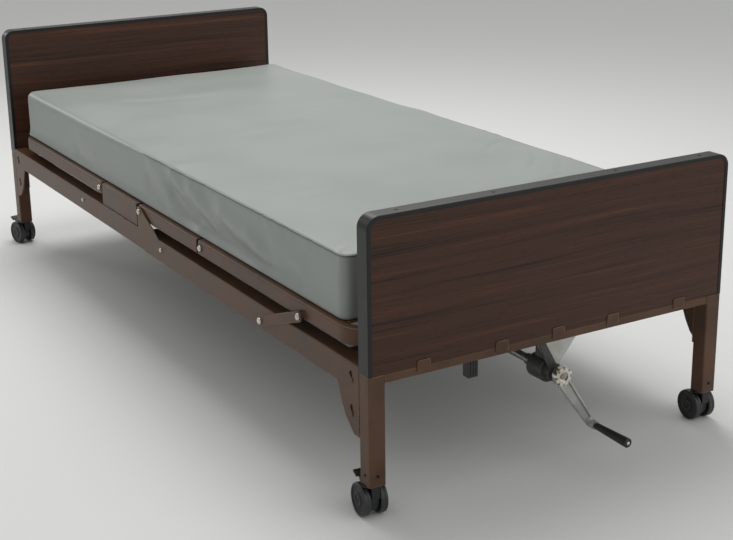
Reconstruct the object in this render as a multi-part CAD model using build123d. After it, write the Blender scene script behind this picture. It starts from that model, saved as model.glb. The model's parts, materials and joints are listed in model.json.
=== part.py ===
from build123d import *
from math import atan2, cos, degrees, hypot, radians, sin
import os

# Adjustable hospital bed, in millimetres, +Z up, head end towards +Y, foot end towards -Y.
# Everything is drawn with y = 0 at the outer face of the foot board. At export it moves by
# Y_SHIFT, so that the origin lies on the floor under the middle of the whole bed.

# ---- Overall sizes -------------------------------------------------------------------------
BED_WIDTH = 914.0
BED_LENGTH = 2235.0
HALF_WIDTH = BED_WIDTH / 2
Y_SHIFT = -1078.43

# ---- End boards ----------------------------------------------------------------------------
BOARD_THICK = 38.0
BOARD_BOTTOM = 308.0
FOOT_BOARD_TOP = 630.0
HEAD_BOARD_TOP = 694.0
BOARD_CORNER = 28.0
EDGING_WALL = 4.0
EDGING_LIP = 9.0
EDGING_PROUD = 1.0
SCREW_X = (-380.0, -155.0, 155.0, 388.0)
SCREW_HEAD_R = 4.2
SCREW_SHANK_R = 2.0
SCREW_DEPTH = 26.0
CROSSBAR_BOTTOM = 290.0
BUMPER_BOTTOM = 249.0
STEEL_WALL = 2.0
CLIP_X = (-330.0, -141.0, 3.0, 148.0, 334.0)
CLIP_WIDTH = 31.0
CLIP_TOP = 321.0
CLIP_THICK = 2.0

# ---- Legs ----------------------------------------------------------------------------------
LEG_SIZE = 38.0
LEG_BOTTOM = 74.0
LEG_X = HALF_WIDTH - LEG_SIZE / 2
LEG_Y = LEG_SIZE / 2
INNER_LEG_SIZE = 26.0
INNER_LEG_TOP = 404.0
LEG_PLUG_TOP = 112.0
GLIDE_FIT = 0.1
GLIDE_HEIGHT = 28.0
LEG_RIVET_Z = 96.0
LEG_RIVET_R = 3.2

# ---- Casters -------------------------------------------------------------------------------
WHEEL_R = 35.0
WHEEL_WIDTH = 17.0
WHEEL_GAP = 10.0
TRAIL = 18.0
STEM_R = 5.5
AXLE_R = 4.0
RUNNING = 0.05
CASTER_CORE = 18.0
HOOD_R = 23.0
HOOD_BOTTOM = 70.8
HOOD_TOP = 73.2
PEDAL_PIVOT = (22.0, 22.0)
CASTERS = {
    "foot_left": (-1, 0, -6.0, True),
    "foot_right": (1, 0, -3.0, False),
    "head_left": (-1, 1, 12.0, True),
    "head_right": (1, 1, -12.0, False),
}

# ---- Side rails ----------------------------------------------------------------------------
RAIL_WEB = 3.0
RAIL_FLANGE = 38.0
RAIL_TOP = 319.0
FOOT_RAIL_BOTTOM = 264.0
HEAD_RAIL_BOTTOM = 267.0
RAIL_SEAM = 1124.0
RAIL_GAP = 0.6
RAIL_START = 38.6
WEB_INNER = HALF_WIDTH - RAIL_WEB
GUSSET = [(RAIL_START, 169.0), (58.0, 169.0), (91.0, 199.0), (102.0, 216.0), (124.0, 267.0)]
KEYHOLES_Z = (296.0, 224.0)
KEYHOLE_Y = 67.0
KEYHOLE_R = 6.5
KEYHOLE_SLOT = 3.2
KEYHOLE_DROP = 13.0
BRACKET_PLATE = 4.0
STUD_R = 3.0
STUD_HEAD_R = 7.0
CROSS_TUBE = 26.0
CROSS_TUBE_Z = 296.0
CROSS_TUBE_Y = (150.0, 600.0, 1016.0, 1577.0, 2085.0)
BOLTED_TUBE_Y = CROSS_TUBE_Y[2:4]

# ---- Mattress deck -------------------------------------------------------------------------
DECK_TOP = 380.0
DECK_TUBE_H = 37.0
DECK_TUBE_W = 25.0
DECK_BOTTOM = DECK_TOP - DECK_TUBE_H
DECK_OUTER = 452.0
DECK_INNER = DECK_OUTER - DECK_TUBE_W
DECK_FOOT = 62.0
DECK_HEAD = 2113.0
DECK_BEND = 60.0
SLAT_THICK = 2.5
SLAT_WIDTH = 40.0
SLAT_RIB_DEPTH = 9.0
SEAT_SLATS_Y = (1265.0, 1325.0)
BACK_SLATS_Y = (1530.0, 1630.0, 1730.0, 1830.0, 1930.0, 2030.0)
THIGH_SLATS_Y = (850.0, 930.0, 1010.0, 1090.0)
CALF_SLATS_Y = (140.0, 250.0, 360.0, 470.0, 580.0, 690.0)
SEAT_TUBES_Y = (1210.0, 1380.0)
SEAT_TUBE = 25.0
TORQUE_R = 11.0
TORQUE_BORE = 8.0
PIVOT_R = 5.0
BOLT_HEAD_R = 8.0
BACK_PIVOT = (1445.0, 362.0)
THIGH_PIVOT = (1150.0, 364.0)
KNEE_PIVOT = (782.0, 362.0)
SEAT_START = 1175.0
SEAT_END = 1421.0
TUBE_OVERHANG = 12.0
LINK_LOW = (456.0, 284.0)
LINK_HIGH = (276.0, 350.0)
LINK_R = 12.0
LINK_THICK = 4.0
LINK_X = HALF_WIDTH + 0.5

# ---- Section actuators ---------------------------------------------------------------------
LEVER_DROP = 110.0
LEVER_THICK = 6.0
LEVER_WIDTH = 40.0
ACTUATOR_X = 110.0
ROD_R = 9.0
SLEEVE_R = 19.0
ROD_PIN_R = 6.0
CASE_LENGTH = 84.0
CASE_HALF_WIDTH = 34.0
MOTOR_R = 25.0
MOTOR_LENGTH = 144.0
MOTOR_OFFSET = 62.0
BACK_CASE_Y = 984.0
KNEE_CASE_Y = 568.0
BACK_SWING = 65.0
THIGH_SWING = 30.0
ROD_Z = BACK_PIVOT[1] - LEVER_DROP

# ---- Hi-lo drive ---------------------------------------------------------------------------
DRIVE_Z = 218.0
SHAFT_R = 9.5
SPINDLE_R = 6.0
CASE_R = 28.0
CASE_NOSE_R = 19.0
CASE_FRONT = 22.0
CASE_BACK = 70.0
HUB_R = 21.0
HUB_CUP_R = 11.0
HUB_FRONT = -26.0
ARM_FRONT = -12.0
ARM_BACK = -4.0
COLLAR_R = 13.0
CRANK_TIP = (91.0, 86.0)
GRIP_START = -27.0
GRIP_END = -130.0
GRIP_R = 7.5
GRIP_FLARE_R = 11.0

# ---- Mattress ------------------------------------------------------------------------------
MATTRESS_HALF_WIDTH = 442.0
MATTRESS_FOOT = 122.0
MATTRESS_HEAD = 2112.0
MATTRESS_BOTTOM = 381.0
MATTRESS_TOP = 520.0
MATTRESS_CORNER = 24.0
MATTRESS_EDGE = 8.0
MATTRESS_GAP = 2.0
KNEE_SWEEP = 24.0               # clears the calf tube's end as the knee folds


# ---- Shapes used again and again -----------------------------------------------------------
def block(x, y, z):
    """A box from (low, high) pairs along each axis."""
    centre = [(low + high) / 2 for low, high in (x, y, z)]
    return Pos(*centre) * Box(x[1] - x[0], y[1] - y[0], z[1] - z[0])


def prism_x(points, x0, x1):
    """A flat plate: an outline of (y, z) points, pushed from x0 to x1."""
    face = Plane.YZ.offset(x0) * Polygon(*points, align=None)
    return extrude(face, x1 - x0, dir=(1, 0, 0))


def prism_y(points, y0, y1):
    """A flat plate: an outline of (x, z) points, pushed from y0 to y1."""
    plane = Plane(origin=(0, y1, 0), x_dir=(1, 0, 0), z_dir=(0, -1, 0))
    return extrude(plane * Polygon(*points, align=None), y1 - y0, dir=(0, -1, 0))


def rod_x(radius, x0, x1, y, z):
    """A round bar along X."""
    return Pos((x0 + x1) / 2, y, z) * Rot(0, 90, 0) * Cylinder(radius, abs(x1 - x0))


def rod_y(radius, y0, y1, x, z):
    """A round bar along Y."""
    return Pos(x, (y0 + y1) / 2, z) * Rot(90, 0, 0) * Cylinder(radius, abs(y1 - y0))


def rod_z(radius, z0, z1, x, y):
    """An upright round bar."""
    return Pos(x, y, (z0 + z1) / 2) * Cylinder(radius, z1 - z0)


def square_post(size, z0, z1, corner):
    """An upright square bar with rounded corners, centred on the Z axis."""
    return extrude(Plane.XY.offset(z0) * RectangleRounded(size, size, corner), z1 - z0)


def box_tube_x(half_length, y, z, width, height):
    """A rectangular tube across the bed, open at both ends."""
    outer = block((-half_length, half_length), (y - width / 2, y + width / 2),
                  (z - height / 2, z + height / 2))
    outer = fillet(outer.edges().filter_by(Axis.X), STEEL_WALL)
    bore_y, bore_z = width / 2 - STEEL_WALL, height / 2 - STEEL_WALL
    return outer - block((-half_length - 1, half_length + 1), (y - bore_y, y + bore_y),
                         (z - bore_z, z + bore_z))


def dome(radius, height, x, y, z, side):
    """A domed bolt head on the outside of the bed, with its flat face at x."""
    head = rod_x(radius, x, x + side * height, y, z)
    rim = head.edges().filter_by(GeomType.CIRCLE).sort_by(Axis.X)
    return fillet(rim[-1] if side > 0 else rim[0], height * 0.8)


def both_sides(shape):
    """The shape and its mirror image on the other side of the bed."""
    return [shape, mirror(shape, Plane.YZ)]


def at_head(shape):
    """The same shape turned round at the head end."""
    return Pos(0, BED_LENGTH, 0) * Rot(0, 0, 180) * shape


def as_solids(shapes):
    """One compound with every solid of the shapes, for nodes of several pieces."""
    return Compound([solid for shape in shapes for solid in shape.solids()])


# ---- End boards ----------------------------------------------------------------------------
def board_outline(inset, top, corner):
    """The board's front view, inset all round except at the open bottom."""
    height = top - inset - BOARD_BOTTOM
    face = Pos(0, BOARD_BOTTOM + height / 2) * Rectangle(BED_WIDTH - 2 * inset, height)
    return fillet(face.vertices().group_by(Axis.Y)[-1], corner)


def board_slab(inset, top, corner, y0, y1):
    """The board outline as a slab from y0 to y1."""
    plane = Plane(origin=(0, y1, 0), x_dir=(1, 0, 0), z_dir=(0, -1, 0))
    return extrude(plane * board_outline(inset, top, corner), y1 - y0)


def end_board(top):
    """Laminated board with the routed channels that the inner legs rise into."""
    inner = BOARD_THICK - EDGING_PROUD
    core = board_slab(EDGING_WALL, top, BOARD_CORNER - EDGING_WALL, EDGING_PROUD, inner)
    side = HALF_WIDTH - EDGING_WALL
    channel = block((LEG_X - INNER_LEG_SIZE / 2 - 1, side + 1), (LEG_Y - 14, LEG_Y + 14),
                    (BOARD_BOTTOM - 1, INNER_LEG_TOP + 4))
    for piece in both_sides(channel):
        core -= piece
    for x in SCREW_X:
        core -= rod_z(SCREW_SHANK_R, top - SCREW_DEPTH, top, x, BOARD_THICK / 2)
    return core


def board_edging(top):
    """Moulded edging that wraps the two sides and the top, with a lip on each face."""
    frame = board_slab(0, top, BOARD_CORNER, 0, BOARD_THICK)
    rims = frame.edges().filter_by(lambda e: e.center().Z > BOARD_BOTTOM + 1
                                   and abs(e.center().Y - LEG_Y) > BOARD_THICK / 2 - 1)
    frame = fillet(rims, 1.5)
    core = board_slab(EDGING_WALL, top, BOARD_CORNER - EDGING_WALL, EDGING_PROUD,
                      BOARD_THICK - EDGING_PROUD)
    window = board_slab(EDGING_LIP, top, BOARD_CORNER - EDGING_LIP, -1, BOARD_THICK + 1)
    frame = frame - core - window
    for x in SCREW_X:
        frame -= rod_z(SCREW_HEAD_R, top - 2.5, top + 1, x, BOARD_THICK / 2)
        frame -= rod_z(SCREW_SHANK_R, top - EDGING_WALL - 1, top, x, BOARD_THICK / 2)
    return frame


def edging_screws(top):
    """Countersunk screws that hold the edging along the top."""
    screws = []
    for x in SCREW_X:
        shank = rod_z(SCREW_SHANK_R, top - SCREW_DEPTH, top - 2.5, x, BOARD_THICK / 2)
        head = rod_z(SCREW_HEAD_R, top - 2.5, top - 0.5, x, BOARD_THICK / 2)
        slot = block((x - 0.6, x + 0.6), (LEG_Y - 3, LEG_Y + 3), (top - 1.3, top))
        screws.append(shank + head - slot)
    return screws


def crossbar():
    """Rectangular tube that the board stands on, welded between the legs."""
    centre_y = BOARD_THICK / 2
    centre_z = (CROSSBAR_BOTTOM + BOARD_BOTTOM) / 2
    return box_tube_x(HALF_WIDTH - LEG_SIZE, centre_y, centre_z, BOARD_THICK - 2,
                      BOARD_BOTTOM - CROSSBAR_BOTTOM)


def board_clips():
    """Folded tabs on both faces that keep the board on the crossbar."""
    clips = []
    for x in CLIP_X:
        half = CLIP_WIDTH / 2
        outline = [(x - half, 298), (x + half, 298), (x + half, CLIP_TOP - 3),
                   (x + half - 3, CLIP_TOP), (x - half + 3, CLIP_TOP), (x - half, CLIP_TOP - 3)]
        clips.append(prism_y(outline, 1 - CLIP_THICK, 1))
        clips.append(prism_y(outline, BOARD_THICK - 1, BOARD_THICK - 1 + CLIP_THICK))
    return clips


# ---- Legs ----------------------------------------------------------------------------------
def leg_tube(side):
    """Outer leg, a square tube flush with the board's side."""
    tube = square_post(LEG_SIZE, LEG_BOTTOM, BOARD_BOTTOM, 3.5)
    tube -= square_post(LEG_SIZE - 2 * STEEL_WALL, LEG_BOTTOM - 1, BOARD_BOTTOM + 1, 1.5)
    tube = Pos(side * LEG_X, LEG_Y, 0) * tube
    tube -= rod_y(2, -1, STEEL_WALL, side * LEG_X, LEG_RIVET_Z)
    return tube - rod_x(2, side * (HALF_WIDTH - STEEL_WALL), side * (HALF_WIDTH + 1), LEG_Y,
                        LEG_RIVET_Z)


def leg_glides(side):
    """Plastic guide bushes at the bottom and the top of one outer leg."""
    size = LEG_SIZE - 2 * STEEL_WALL
    bushes = []
    for low in (LEG_BOTTOM + 2, BOARD_BOTTOM - GLIDE_HEIGHT):
        bush = square_post(size, low, low + GLIDE_HEIGHT, 1.5)
        bush -= square_post(INNER_LEG_SIZE + 2 * GLIDE_FIT, low - 1, low + GLIDE_HEIGHT + 1, 2)
        bushes.append(Pos(side * LEG_X, LEG_Y, 0) * bush)
    return bushes


def leg_rivets(side):
    """Two rivets that hold the lower bush, one on the front and one on the side."""
    front = rod_y(2, 0, STEEL_WALL, side * LEG_X, LEG_RIVET_Z)
    front += rod_y(LEG_RIVET_R, -1.2, 0, side * LEG_X, LEG_RIVET_Z)
    flank = rod_x(2, side * (HALF_WIDTH - STEEL_WALL), side * HALF_WIDTH, LEG_Y, LEG_RIVET_Z)
    flank += rod_x(LEG_RIVET_R, side * HALF_WIDTH, side * (HALF_WIDTH + 1.2), LEG_Y,
                   LEG_RIVET_Z)
    return [front, flank]


def inner_leg():
    """Sliding leg on the Z axis, with a plug at its foot that takes the caster stem."""
    leg = square_post(INNER_LEG_SIZE, LEG_BOTTOM, INNER_LEG_TOP, 2)
    leg -= square_post(INNER_LEG_SIZE - 2 * STEEL_WALL, LEG_PLUG_TOP, INNER_LEG_TOP + 1, 1)
    return leg - rod_z(STEM_R + RUNNING, LEG_BOTTOM - 1, LEG_PLUG_TOP - 6, 0, 0)


def end_bracket():
    """Plate welded behind a leg, with the mushroom studs that the rail hooks on to."""
    outline = [(38, 170), (56, 170), (84, 196), (94, 226), (94, 306), (38, 306)]
    bracket = prism_x(outline, WEB_INNER - BRACKET_PLATE, WEB_INNER)
    bracket += block((HALF_WIDTH - LEG_SIZE, WEB_INNER - BRACKET_PLATE), (38, 41), (187, 288))
    for z in KEYHOLES_Z:
        stud_z = z - KEYHOLE_DROP
        bracket += rod_x(STUD_R, WEB_INNER - BRACKET_PLATE, HALF_WIDTH, KEYHOLE_Y, stud_z)
        bracket += dome(STUD_HEAD_R, 2.4, HALF_WIDTH, KEYHOLE_Y, stud_z, 1)
    return bracket


# ---- Casters, drawn with the stem on the Z axis and the wheels trailing towards +Y ----------
def caster_yoke(has_pedal):
    """Stem, hood and the body between the two wheels."""
    core = rod_x(27, -CASTER_CORE / 2, CASTER_CORE / 2, TRAIL, WHEEL_R)
    core += block((-CASTER_CORE / 2, CASTER_CORE / 2), (-13, 24), (44, HOOD_BOTTOM))
    core += rod_z(HOOD_R, HOOD_BOTTOM, HOOD_TOP, 0, 4)
    core += rod_z(STEM_R, HOOD_BOTTOM, LEG_PLUG_TOP - 8, 0, 0)
    core -= rod_x(AXLE_R + RUNNING, -20, 20, TRAIL, WHEEL_R)
    if has_pedal:
        y, z = TRAIL + PEDAL_PIVOT[0], WHEEL_R + PEDAL_PIVOT[1]
        ears = rod_x(6, -CASTER_CORE / 2, CASTER_CORE / 2, y, z)
        ears += prism_x([(y - 16, z - 12), (y, z - 6), (y - 2, z + 6), (y - 16, z + 4)],
                        -CASTER_CORE / 2, CASTER_CORE / 2)
        core += ears
        core -= block((-7, 7), (y - 8.5, y + 12), (z - 8.5, z + 30))
        core -= rod_x(2 + RUNNING, -12, 12, y, z)
    return core


def caster_wheels():
    """Two moulded wheels with dished outer faces, on one axle."""
    axle = rod_x(AXLE_R, -WHEEL_GAP - WHEEL_WIDTH + 4, WHEEL_GAP + WHEEL_WIDTH - 4, TRAIL,
                 WHEEL_R)
    wheels = []
    for side in (-1, 1):
        wheel = rod_x(WHEEL_R, side * WHEEL_GAP, side * (WHEEL_GAP + WHEEL_WIDTH), TRAIL,
                      WHEEL_R)
        wheel = fillet(wheel.edges().filter_by(GeomType.CIRCLE), 3)
        outer = side * (WHEEL_GAP + WHEEL_WIDTH)
        wheel -= rod_x(26, outer - side * 2, outer + side * 1, TRAIL, WHEEL_R)
        wheel += rod_x(9, outer - side * 3, outer - side * 0.5, TRAIL, WHEEL_R)
        wheel -= rod_x(AXLE_R, side * (WHEEL_GAP - 1), side * (WHEEL_GAP + WHEEL_WIDTH - 4),
                       TRAIL, WHEEL_R)
        wheels.append(wheel)
    return wheels + [axle]


def brake_pedal():
    """Foot pedal hinged at the back of the yoke, on its own pin."""
    y, z = TRAIL + PEDAL_PIVOT[0], WHEEL_R + PEDAL_PIVOT[1]
    barrel = rod_x(5.5, -6.6, 6.6, y, z)
    arm = prism_x([(y - 3, z + 2), (y + 4, z - 3), (y + 16, z + 8), (y + 15, z + 15)],
                  -6.6, 6.6)
    tread = prism_x([(y + 14, z + 8.5), (y + 30, z + 15), (y + 28.5, z + 20), (y + 12, z + 14)],
                    -13, 13)
    tread = fillet(tread.edges().filter_by(Axis.X), 1.5)
    pin = rod_x(2, -CASTER_CORE / 2, CASTER_CORE / 2, y, z)
    return barrel + arm + tread + pin


def place_caster(shape, name):
    """Moves a caster shape under its leg and turns it to its resting direction."""
    side, at_far_end, turn, _ = CASTERS[name]
    y = BED_LENGTH - LEG_Y if at_far_end else LEG_Y
    return Pos(side * LEG_X, y, 0) * Rot(0, 0, turn) * shape


# ---- Side rails ----------------------------------------------------------------------------
def cut_keyholes(web, flip):
    """Cuts the two keyholes that drop over the studs of the end bracket."""
    y = BED_LENGTH - KEYHOLE_Y if flip else KEYHOLE_Y
    for z in KEYHOLES_Z:
        web -= rod_x(KEYHOLE_R, WEB_INNER - 1, HALF_WIDTH + 1, y, z)
        web -= rod_x(KEYHOLE_SLOT, WEB_INNER - 1, HALF_WIDTH + 1, y, z - KEYHOLE_DROP)
        web -= block((WEB_INNER - 1, HALF_WIDTH + 1), (y - KEYHOLE_SLOT, y + KEYHOLE_SLOT),
                     (z - KEYHOLE_DROP, z))
    return web


def fold_top(web, flange_y, fold_y):
    """Adds the rail's inward top flange, and rounds its outer fold, between (low, high) places."""
    flange = block((HALF_WIDTH - RAIL_FLANGE, HALF_WIDTH), flange_y,
                   (RAIL_TOP - RAIL_WEB, RAIL_TOP))
    corner = block((WEB_INNER, HALF_WIDTH + 1), fold_y, (RAIL_TOP - RAIL_WEB, RAIL_TOP + 1))
    return web + flange - (corner - rod_y(RAIL_WEB, *fold_y, WEB_INNER, RAIL_TOP - RAIL_WEB))


def foot_rail():
    """Angle rail of the foot half; its end rises into the ear of the thigh pivot."""
    y, z = THIGH_PIVOT
    ear_start = y - 120
    outline = GUSSET[:-1] + [(124, FOOT_RAIL_BOTTOM), (RAIL_SEAM, FOOT_RAIL_BOTTOM),
                             (RAIL_SEAM, RAIL_TOP + RAIL_GAP), (y + 12, RAIL_TOP + RAIL_GAP),
                             (y + 12, z + 6), (y + 8, z + 12), (y - 4, z + 13),
                             (y - 12, z + 8), (ear_start + 12, RAIL_TOP + 8),
                             (ear_start, RAIL_TOP), (RAIL_START, RAIL_TOP)]
    web = cut_keyholes(prism_x(outline, WEB_INNER, HALF_WIDTH), False)
    rail = fold_top(web, (RAIL_START, RAIL_SEAM), (RAIL_START, ear_start))
    rail = rail - rod_x(PIVOT_R, WEB_INNER - 1, HALF_WIDTH + 1, *THIGH_PIVOT)
    return rail - rod_x(PIVOT_R, WEB_INNER - 1, HALF_WIDTH + 1, *LINK_LOW)


def head_rail():
    """Angle rail of the head half; its flange stops short of the seat plates."""
    end = BED_LENGTH - RAIL_START
    gusset = [(BED_LENGTH - y, z) for y, z in GUSSET[:-1]]
    outline = gusset + [(BED_LENGTH - 124, HEAD_RAIL_BOTTOM),
                        (RAIL_SEAM + RAIL_GAP, HEAD_RAIL_BOTTOM),
                        (RAIL_SEAM + RAIL_GAP, RAIL_TOP), (end, RAIL_TOP)]
    web = cut_keyholes(prism_x(outline, WEB_INNER, HALF_WIDTH), True)
    return fold_top(web, (SEAT_END + 2, end), (SEAT_END + 2, end))


def rail_splice():
    """Plate inside the seam that joins the two halves of one rail."""
    return block((WEB_INNER - 3, WEB_INNER), (RAIL_SEAM - 70, RAIL_SEAM + 40), (272, 315))


def cross_members():
    """Tubes that tie the two rails together."""
    half = WEB_INNER
    return [box_tube_x(half, y, CROSS_TUBE_Z, CROSS_TUBE, CROSS_TUBE) for y in CROSS_TUBE_Y]


def rail_fasteners():
    """Dome heads over the ends of the two middle cross members."""
    return [dome(6, 3.5, HALF_WIDTH, y, CROSS_TUBE_Z, 1) for y in BOLTED_TUBE_Y]


# ---- Deck ----------------------------------------------------------------------------------
def deck_u(y0, y1, closed_at_foot):
    """A tube bent to a U that frames one end section of the deck."""
    reach = 2 * (y1 - y0)
    centre = y0 + reach / 2 if closed_at_foot else y1 - reach / 2
    keep = block((-500, 500), (y0, y1), (0, 500))

    def ring(inset):
        outer = RectangleRounded(2 * (DECK_OUTER - inset), reach - 2 * inset,
                                 DECK_BEND - inset)
        inner = RectangleRounded(2 * (DECK_INNER + inset),
                                 reach - 2 * (DECK_TUBE_W - inset),
                                 DECK_BEND - DECK_TUBE_W + inset)
        return extrude(Pos(0, centre, DECK_BOTTOM + inset) * (outer - inner),
                       DECK_TUBE_H - 2 * inset)

    shell = ring(0)
    edges = shell.edges().filter_by(lambda e: abs(e.center().Z - DECK_BOTTOM) < 0.1
                                    or abs(e.center().Z - DECK_TOP) < 0.1)
    shell = fillet(edges, 5)
    return (shell - ring(STEEL_WALL)) & keep


def side_tube(y0, y1, x0=DECK_INNER, x1=DECK_OUTER):
    """A straight side tube of the deck, on the right-hand side."""
    bar = block((x0, x1), (y0, y1), (DECK_BOTTOM, DECK_TOP))
    bar = fillet(bar.edges().filter_by(Axis.Y), 5)
    return bar - block((x0 + STEEL_WALL, x1 - STEEL_WALL), (y0 - 1, y1 + 1),
                       (DECK_BOTTOM + STEEL_WALL, DECK_TOP - STEEL_WALL))


def bored(shape, radius, y, z):
    """Drills the shape across the bed at a pivot."""
    return shape - rod_x(radius, -520, 520, y, z)


def slat(y, reach=DECK_INNER):
    """A cross slat of the deck, let in flush between the side tubes."""
    plate = block((-reach, reach), (y - SLAT_WIDTH / 2, y + SLAT_WIDTH / 2),
                  (DECK_TOP - SLAT_THICK, DECK_TOP))
    rib = block((-reach, reach), (y - 3, y + 3), (DECK_TOP - SLAT_RIB_DEPTH, DECK_TOP))
    return plate + rib


def lever(pivot, swing, x, clearance):
    """Slotted lever under a torque tube; the rod pin runs in its open-ended slot."""
    y, z = pivot
    half = LEVER_WIDTH / 2
    reach = LEVER_DROP / cos(radians(swing / 2)) + 14
    plate = prism_x([(y - half, z), (y + half, z), (y + half, z - reach), (y - half, z - reach)],
                    x - LEVER_THICK / 2, x + LEVER_THICK / 2)
    slot_half = ROD_PIN_R + clearance
    slot = block((x - 10, x + 10), (y - slot_half, y + slot_half),
                 (z - reach - 1, z - LEVER_DROP + 10 + slot_half))
    slot += rod_x(slot_half, x - 10, x + 10, y, z - LEVER_DROP + 10 + slot_half)
    return plate - slot


def turned(shape, pivot, angle):
    """The shape turned about a pivot across the bed; a positive angle lifts its +Y side."""
    y, z = pivot
    return Pos(0, y, z) * Rot(angle, 0, 0) * Pos(0, -y, -z) * shape


def torque_tube(y, z):
    """Round tube between the side tubes that the actuator's lever turns."""
    tube = rod_x(TORQUE_R, -DECK_INNER, DECK_INNER, y, z)
    return tube - rod_x(TORQUE_BORE, -DECK_INNER - 1, DECK_INNER + 1, y, z)


def back_frame():
    """Back section: bent tube, torque tube at its pivot and the actuator lever."""
    y, z = BACK_PIVOT
    frame = deck_u(y - TUBE_OVERHANG, DECK_HEAD, False)
    torque_y, torque_z = y + 30, z - 4
    torque = torque_tube(torque_y, torque_z)
    arm = turned(lever(BACK_PIVOT, BACK_SWING, ACTUATOR_X, 3.6), BACK_PIVOT, -BACK_SWING / 2)
    arm += prism_x([(y - 14, z - 20), (y + 44, z - 18), (y + 44, z + 9), (y - 14, z + 8)],
                   ACTUATOR_X - LEVER_THICK / 2, ACTUATOR_X + LEVER_THICK / 2)
    arm -= rod_x(TORQUE_R, ACTUATOR_X - 10, ACTUATOR_X + 10, torque_y, torque_z)
    return [bored(frame, PIVOT_R + RUNNING, y, z), torque, arm]


def thigh_frame():
    """Thigh section: two side tubes, a torque tube and the knee actuator's lever."""
    y, z = THIGH_PIVOT
    tubes = both_sides(side_tube(KNEE_PIVOT[0] + 22, y + TUBE_OVERHANG))
    tubes = [bored(tube, PIVOT_R + RUNNING, y, z) for tube in tubes]
    ears = both_sides(prism_x([(KNEE_PIVOT[0] + 60, DECK_BOTTOM + 6),
                               (KNEE_PIVOT[0] + 60, DECK_TOP - 3),
                               (KNEE_PIVOT[0] - 6, DECK_TOP - 3),
                               (KNEE_PIVOT[0] - 13, KNEE_PIVOT[1] + 6),
                               (KNEE_PIVOT[0] - 13, KNEE_PIVOT[1] - 6),
                               (KNEE_PIVOT[0] - 6, DECK_BOTTOM + 6)],
                              DECK_INNER - 4, DECK_INNER))
    ears = [bored(ear, PIVOT_R, *KNEE_PIVOT) for ear in ears]
    torque = torque_tube(y - 22, z - 6)
    arm = turned(lever(THIGH_PIVOT, THIGH_SWING, -ACTUATOR_X, 1.2), THIGH_PIVOT,
                 THIGH_SWING / 2)
    arm += prism_x([(y - 34, z - 18), (y + 12, z - 20), (y + 12, z + 6), (y - 34, z + 6)],
                   -ACTUATOR_X - LEVER_THICK / 2, -ACTUATOR_X + LEVER_THICK / 2)
    arm -= rod_x(TORQUE_R, -ACTUATOR_X - 10, -ACTUATOR_X + 10, y - 22, z - 6)
    return tubes + ears + [torque, arm]


def calf_frame():
    """Calf section: a bent tube that hangs on the knee bolts."""
    frame = deck_u(DECK_FOOT, KNEE_PIVOT[0] + TUBE_OVERHANG, True)
    return bored(frame, PIVOT_R + RUNNING, *KNEE_PIVOT)


def seat_frame():
    """Fixed seat section: side tubes with plates down to the rails, and two cross tubes."""
    inner, outer = DECK_INNER - 1, DECK_OUTER - 1
    tube = side_tube(SEAT_START, SEAT_END, inner, outer)
    plate = prism_x([(SEAT_START, 276), (SEAT_END, 276), (SEAT_END, DECK_TOP - 1),
                     (SEAT_START, DECK_TOP - 1)], outer, WEB_INNER)
    y, z = BACK_PIVOT
    lug = prism_x([(SEAT_END - 70, DECK_BOTTOM), (y + 8, z - 16), (y + 13, z - 6),
                   (y + 13, z + 6), (y + 8, z + 12), (SEAT_END - 70, DECK_TOP - 4)],
                  inner - 5, inner - 0.3)
    lug = bored(lug, PIVOT_R, y, z)
    foot = block((inner - 5, inner), (SEAT_END - 68, SEAT_END - 20),
                 (DECK_BOTTOM + 4, DECK_TOP - 8))
    cross = [box_tube_x(inner, tube_y, DECK_TOP - 24, SEAT_TUBE, SEAT_TUBE)
             for tube_y in SEAT_TUBES_Y]
    return both_sides(tube) + both_sides(plate) + both_sides(lug + foot) + cross


def pivot_bolts():
    """Shoulder bolts of the back and thigh sections."""
    pieces = []
    y, z = BACK_PIVOT
    pin = rod_x(PIVOT_R, DECK_INNER - 6, DECK_OUTER + 0.6, y, z)
    pieces += both_sides(pin + dome(BOLT_HEAD_R, 5, DECK_OUTER + 0.6, y, z, 1))
    y, z = THIGH_PIVOT
    pin = rod_x(PIVOT_R, DECK_INNER + 3, HALF_WIDTH, y, z)
    pieces += both_sides(pin + dome(BOLT_HEAD_R, 5, HALF_WIDTH, y, z, 1))
    y, z = LINK_LOW
    pin = rod_x(PIVOT_R, WEB_INNER - 8, LINK_X + LINK_THICK + 0.4, y, z)
    return pieces + both_sides(pin + dome(BOLT_HEAD_R, 4.5, LINK_X + LINK_THICK + 0.4, y, z, 1))


def knee_bolts():
    """Shoulder bolts of the knee, fixed in the thigh section's ears."""
    y, z = KNEE_PIVOT
    pin = rod_x(PIVOT_R, DECK_INNER - 6, DECK_OUTER + 0.6, y, z)
    return both_sides(pin + dome(BOLT_HEAD_R, 5, DECK_OUTER + 0.6, y, z, 1))


def calf_link():
    """Flat strut from the rail to the calf section."""
    (y0, z0), (y1, z1) = LINK_LOW, LINK_HIGH
    length = hypot(y1 - y0, z1 - z0)
    flat = Rectangle(length, 2 * LINK_R) + Pos(-length / 2, 0) * Circle(LINK_R)
    flat += Pos(length / 2, 0) * Circle(LINK_R)
    angle = degrees(atan2(z1 - z0, y1 - y0))
    bar = extrude(Plane.YZ.offset(LINK_X) * Pos((y0 + y1) / 2, (z0 + z1) / 2)
                  * Rot(0, 0, angle) * flat, LINK_THICK)
    bar -= rod_x(PIVOT_R + RUNNING, LINK_X - 1, LINK_X + 6, y0, z0)
    return bar - rod_x(PIVOT_R, LINK_X - 1, LINK_X + 6, y1, z1)


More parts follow.
